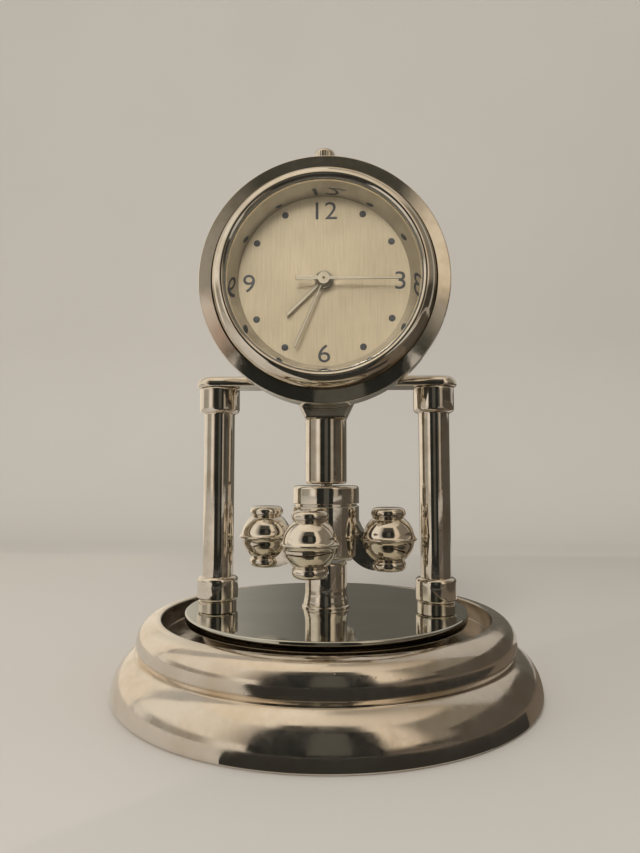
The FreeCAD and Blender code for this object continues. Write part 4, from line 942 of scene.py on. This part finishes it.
def add_crown(bm):
    """Rings up the crown, with each flute a rounded dip in the ring."""
    per_flute = 8
    sides = FLUTES * per_flute
    levels = [(0.0, CROWN_BOTTOM, 0.0), (CROWN_RADIUS - CROWN_EDGE, CROWN_BOTTOM, 0.0),
              (CROWN_RADIUS - 0.05, CROWN_BOTTOM + 0.2, 0.6), (CROWN_RADIUS, CROWN_BOTTOM + 0.34, 1.0)]
    for i in range(10):
        bend = math.radians(10 * i)
        levels.append((CROWN_RADIUS - CROWN_DOME * (1 - math.cos(bend)),
                       CROWN_TOP - CROWN_DOME * (1 - math.sin(bend)), max(0.0, 1 - i / 3)))
    levels.append((0.0, CROWN_TOP, 0.0))
    place = upright_at(0.0, STEM_DEPTH)
    rings = []
    for radius, height, share in levels:
        ring = []
        for i in range(sides):
            dip = FLUTE_DEPTH * share * (0.5 - 0.5 * math.cos(math.tau * i / per_flute)) ** 2
            around = radius - dip if radius else 0.0
            ring.append(bm.verts.new(place(around, HEAD_HEIGHT + height, math.tau * i / sides)))
        rings.append(ring)
    join_rings(bm, rings)


bm = bmesh.new()
add_crown(bm)
crown = add_piece("fluted_crown", bm, head_plate, crease=50.0)
stands_for(crown, "crown_and_stem", "plated_head", "crown")

# ---------------------------------------------------------------- floor, light and camera
# The clock stands on a plain pale surface that sweeps up behind it. Large panels beside and in
# front of it give the polished metal something to mirror.

scene = bpy.context.scene
scene.view_settings.view_transform = "Standard"
FLOOR_COLOUR = (0.66, 0.63, 0.59)


def sweep_floor():
    """One sheet, in metres: flat under the clock, then curved up into a backdrop."""
    bm = bmesh.new()
    front, back, lift, radius, half = -0.6, 0.16, 0.9, 0.10, 0.9
    path = [(front, 0.0), (back, 0.0)]
    path += [(back + radius * math.sin(a), radius * (1 - math.cos(a)))
             for a in (math.pi / 2 * i / 16 for i in range(1, 17))]
    path.append((back + radius, lift))
    rows = [[bm.verts.new((x, y, z)) for x in (-half, half)] for y, z in path]
    for low, high in zip(rows, rows[1:]):
        bm.faces.new((low[0], low[1], high[1], high[0]))
    return bm


pale = Finish("pale_surface", Roughness=0.6)
pale.link("Base Color", pale.ramp(pale.noise(9.0, 3.0, 0.5),
                                  (0.35, tuple(c * 0.985 for c in FLOOR_COLOUR)),
                                  (0.65, tuple(c * 1.015 for c in FLOOR_COLOUR))))
add_piece("floor", sweep_floor(), pale.material, crease=80.0)

DIM_FRONT = (0.062, 0.058, 0.046)
BEHIND_LEFT = (0.46, 0.425, 0.355)
BEHIND_RIGHT = (0.125, 0.115, 0.092)
ROOM_LOW = [
    (-180, BEHIND_LEFT), (-125, (0.62, 0.57, 0.48)), (-100, (0.80, 0.745, 0.65)),
    (-90, (0.32, 0.285, 0.235)), (-60, (0.36, 0.32, 0.26)), (-48, (0.80, 0.73, 0.63)),
    (-38, (0.80, 0.73, 0.63)), (-31, (0.42, 0.31, 0.24)), (-26, DIM_FRONT), (26, DIM_FRONT),
    (31, (0.44, 0.38, 0.30)), (41, (0.36, 0.31, 0.245)), (46, (0.055, 0.048, 0.038)),
    (90, (0.055, 0.048, 0.038)), (120, BEHIND_RIGHT), (180, BEHIND_RIGHT),
]
ROOM_HIGH = [
    (-180, (0.74, 0.67, 0.55)), (-125, (0.78, 0.71, 0.59)), (-98, (0.82, 0.745, 0.63)),
    (-54, (0.80, 0.72, 0.60)), (-38, (0.38, 0.33, 0.27)), (-32, (0.22, 0.195, 0.155)), (-25, DIM_FRONT),
    (23, DIM_FRONT), (30, (0.78, 0.66, 0.50)), (44, (0.74, 0.62, 0.48)), (54, (0.22, 0.19, 0.145)),
    (105, (0.22, 0.19, 0.145)), (180, (0.50, 0.46, 0.40)),
]
ROOM_TOP = [
    (-180, (0.80, 0.70, 0.56)), (-100, (0.88, 0.77, 0.62)), (-20, (0.80, 0.69, 0.54)),
    (60, (0.66, 0.56, 0.43)), (130, (0.34, 0.29, 0.22)), (180, (0.40, 0.35, 0.27)),
]
HIGH_FROM, HIGH_FULL = 10.0, 15.0
TOP_FROM, TOP_FULL = 51.0, 56.0
ROOM_LIGHT = (0.79, 0.77, 0.73)
ROOM_LEVEL = 0.88

world = bpy.data.worlds.new("room")
scene.world = world
world.use_nodes = True
tree = world.node_tree
way = node_in(tree, "ShaderNodeTexCoord").outputs["Generated"]
axes = node_in(tree, "ShaderNodeSeparateXYZ", {0: way})
forward = node_in(tree, "ShaderNodeMath", {0: axes.outputs["Y"], 1: -1.0}, operation="MULTIPLY").outputs[0]
around = node_in(tree, "ShaderNodeMath", {0: axes.outputs["X"], 1: forward}, operation="ARCTAN2").outputs[0]
share = node_in(tree, "ShaderNodeMapRange", {"Value": around, "From Min": -math.pi, "From Max": math.pi})
height = node_in(tree, "ShaderNodeMath", {0: axes.outputs["Z"]}, operation="ARCSINE").outputs[0]


def room_band(stops):
    """The colours round the room in one band of heights, from the left of the back wall."""
    band = node_in(tree, "ShaderNodeValToRGB", {"Fac": share.outputs["Result"]})
    set_stops(band, [(degrees / 360 + 0.5, colour) for degrees, colour in stops])
    return band.outputs["Color"]


def blend_above(lower, upper, start, full):
    """One band below start degrees of height, the other above full degrees."""
    above = node_in(tree, "ShaderNodeMapRange", {"Value": height, "From Min": math.radians(start),
                                                 "From Max": math.radians(full)})
    return node_in(tree, "ShaderNodeMix", {"Factor": above.outputs["Result"], 6: lower, 7: upper},
                   data_type="RGBA").outputs[2]


walls = blend_above(room_band(ROOM_LOW), room_band(ROOM_HIGH), HIGH_FROM, HIGH_FULL)
room = blend_above(walls, room_band(ROOM_TOP), TOP_FROM, TOP_FULL)
mirrored = node_in(tree, "ShaderNodeBackground", {"Color": room, "Strength": 1.0})
plain = tree.nodes["Background"]
plain.inputs["Color"].default_value = (*ROOM_LIGHT, 1.0)
plain.inputs["Strength"].default_value = ROOM_LEVEL
either = node_in(tree, "ShaderNodeMixShader", {
    0: node_in(tree, "ShaderNodeLightPath").outputs["Is Glossy Ray"],
    1: plain.outputs["Background"], 2: mirrored.outputs["Background"]})
tree.links.new(either.outputs["Shader"], tree.nodes["World Output"].inputs["Surface"])


def soft_light(name, size, place, target, power, colour):
    """A soft lamp at place that faces target. The polished metal mirrors the cards instead."""
    lamp = bpy.data.lights.new(name, "AREA")
    lamp.shape = "RECTANGLE"
    lamp.size, lamp.size_y = size
    lamp.energy = power
    lamp.color = colour
    holder = bpy.data.objects.new(name, lamp)
    holder.location = place
    facing = Vector(target) - Vector(place)
    holder.rotation_euler = facing.to_track_quat("-Z", "Y").to_euler()
    holder.visible_glossy = False
    scene.collection.objects.link(holder)


soft_light("key_light", size=(0.09, 0.08), place=(-0.08, -0.31, 0.27), target=(0, 0, 0.035),
           power=0.62, colour=(1.0, 0.955, 0.89))


def mirrored_card(name, corners, left, right=None):
    """A plain panel that only the polished metal sees, shaded from left to right."""
    bm = bmesh.new()
    bm.faces.new([bm.verts.new(Vector(corner) * MM) for corner in corners])
    paint = Finish(name)
    axes = paint.node("ShaderNodeSeparateXYZ", {0: paint.place})
    low, high = (edge(corner[0] for corner in corners) * MM for edge in (min, max))
    share = paint.spread(axes.outputs["X"], low, max(high, low + MM), 0.0, 1.0)
    glow = paint.node("ShaderNodeEmission", {
        "Color": paint.ramp(share, (0.0, left), (1.0, right or left)), "Strength": 1.0})
    paint.tree.links.new(glow.outputs["Emission"], paint.tree.nodes["Material Output"].inputs["Surface"])
    card = add_piece(name, bm, paint.material)
    for ray in ("camera", "diffuse", "shadow", "transmission"):
        setattr(card, f"visible_{ray}", False)


def upright_card(name, left, right, low, high, depth, *colours):
    """A panel that stands square to the clock, in front of it or behind."""
    mirrored_card(name, [(left, depth, low), (right, depth, low), (right, depth, high), (left, depth, high)],
                  *colours)


def table_card(name, height, outline, *colours):
    """A sheet that lies a hair above the floor, and reaches in under the edge of the base."""
    mirrored_card(name, [(x, y, height) for x, y in outline], *colours)


PANEL_PLACE, WALL_PLACE = -88, 130
BRIGHT_WALL = (0.86, 0.76, 0.62)
DIM_WALL = (0.36, 0.335, 0.28)
SHADED_WALL = (0.145, 0.133, 0.110)
DARK_TABLE = (0.035, 0.033, 0.028)

upright_card("dark_panel", -50, 42, 0.5, 84, PANEL_PLACE, (0.020, 0.020, 0.017))
upright_card("dim_panel", -44, 36, 84, 138, PANEL_PLACE, DIM_FRONT)
upright_card("grey_strip", -8, 18, 6, 76, PANEL_PLACE + 0.5, (0.085, 0.080, 0.066))
upright_card("brown_front", 42, 150, 0.5, 14, PANEL_PLACE, (0.12, 0.10, 0.078))
upright_card("pale_wall", -170, -20, 62, 200, WALL_PLACE, (0.88, 0.80, 0.67), (0.58, 0.53, 0.44))
upright_card("bright_wall", -420, -64, 0.5, 62, WALL_PLACE, BRIGHT_WALL)
upright_card("bright_corner", -420, -170, 62, 200, WALL_PLACE, BRIGHT_WALL)
upright_card("dim_wall", -64, -36, 0.5, 62, WALL_PLACE, (0.80, 0.71, 0.58), DIM_WALL)
upright_card("wall_shadow_edge", -36, -8, 0.5, 62, WALL_PLACE, DIM_WALL, SHADED_WALL)
upright_card("shaded_wall", -8, 170, 0.5, 62, WALL_PLACE, SHADED_WALL, (0.10, 0.09, 0.072))
table_card("dark_table", 0.3, [(-60, -88), (55, -88), (26, -43), (16, -18), (-6, -22), (-9, -25), (-28, -45)],
           DARK_TABLE)
table_card("dark_table_right", 0.3, [(26, -43), (50, -30), (44, -5), (20, -16), (16, -18)],
           DARK_TABLE, (0.045, 0.040, 0.033))
table_card("brown_table", 0.2, [(55, -88), (170, -88), (170, 130), (22, 10), (16, -18), (26, -43)],
           (0.15, 0.12, 0.09))
mirrored_card("brown_side", [(78, -52, 0.5), (78, 60, 0.5), (78, 60, 40), (78, -52, 40)],
              (0.09, 0.075, 0.058))

camera_lens = bpy.data.cameras.new("camera")
camera_lens.lens = 27.01
camera_lens.sensor_width = 36.0
camera_lens.clip_start = 0.001
camera = bpy.data.objects.new("camera", camera_lens)
camera.location = (0.00294, -0.085, 0.02672)
camera.rotation_euler = (math.radians(94.24), 0.0, math.radians(2.52))
scene.collection.objects.link(camera)
scene.camera = camera
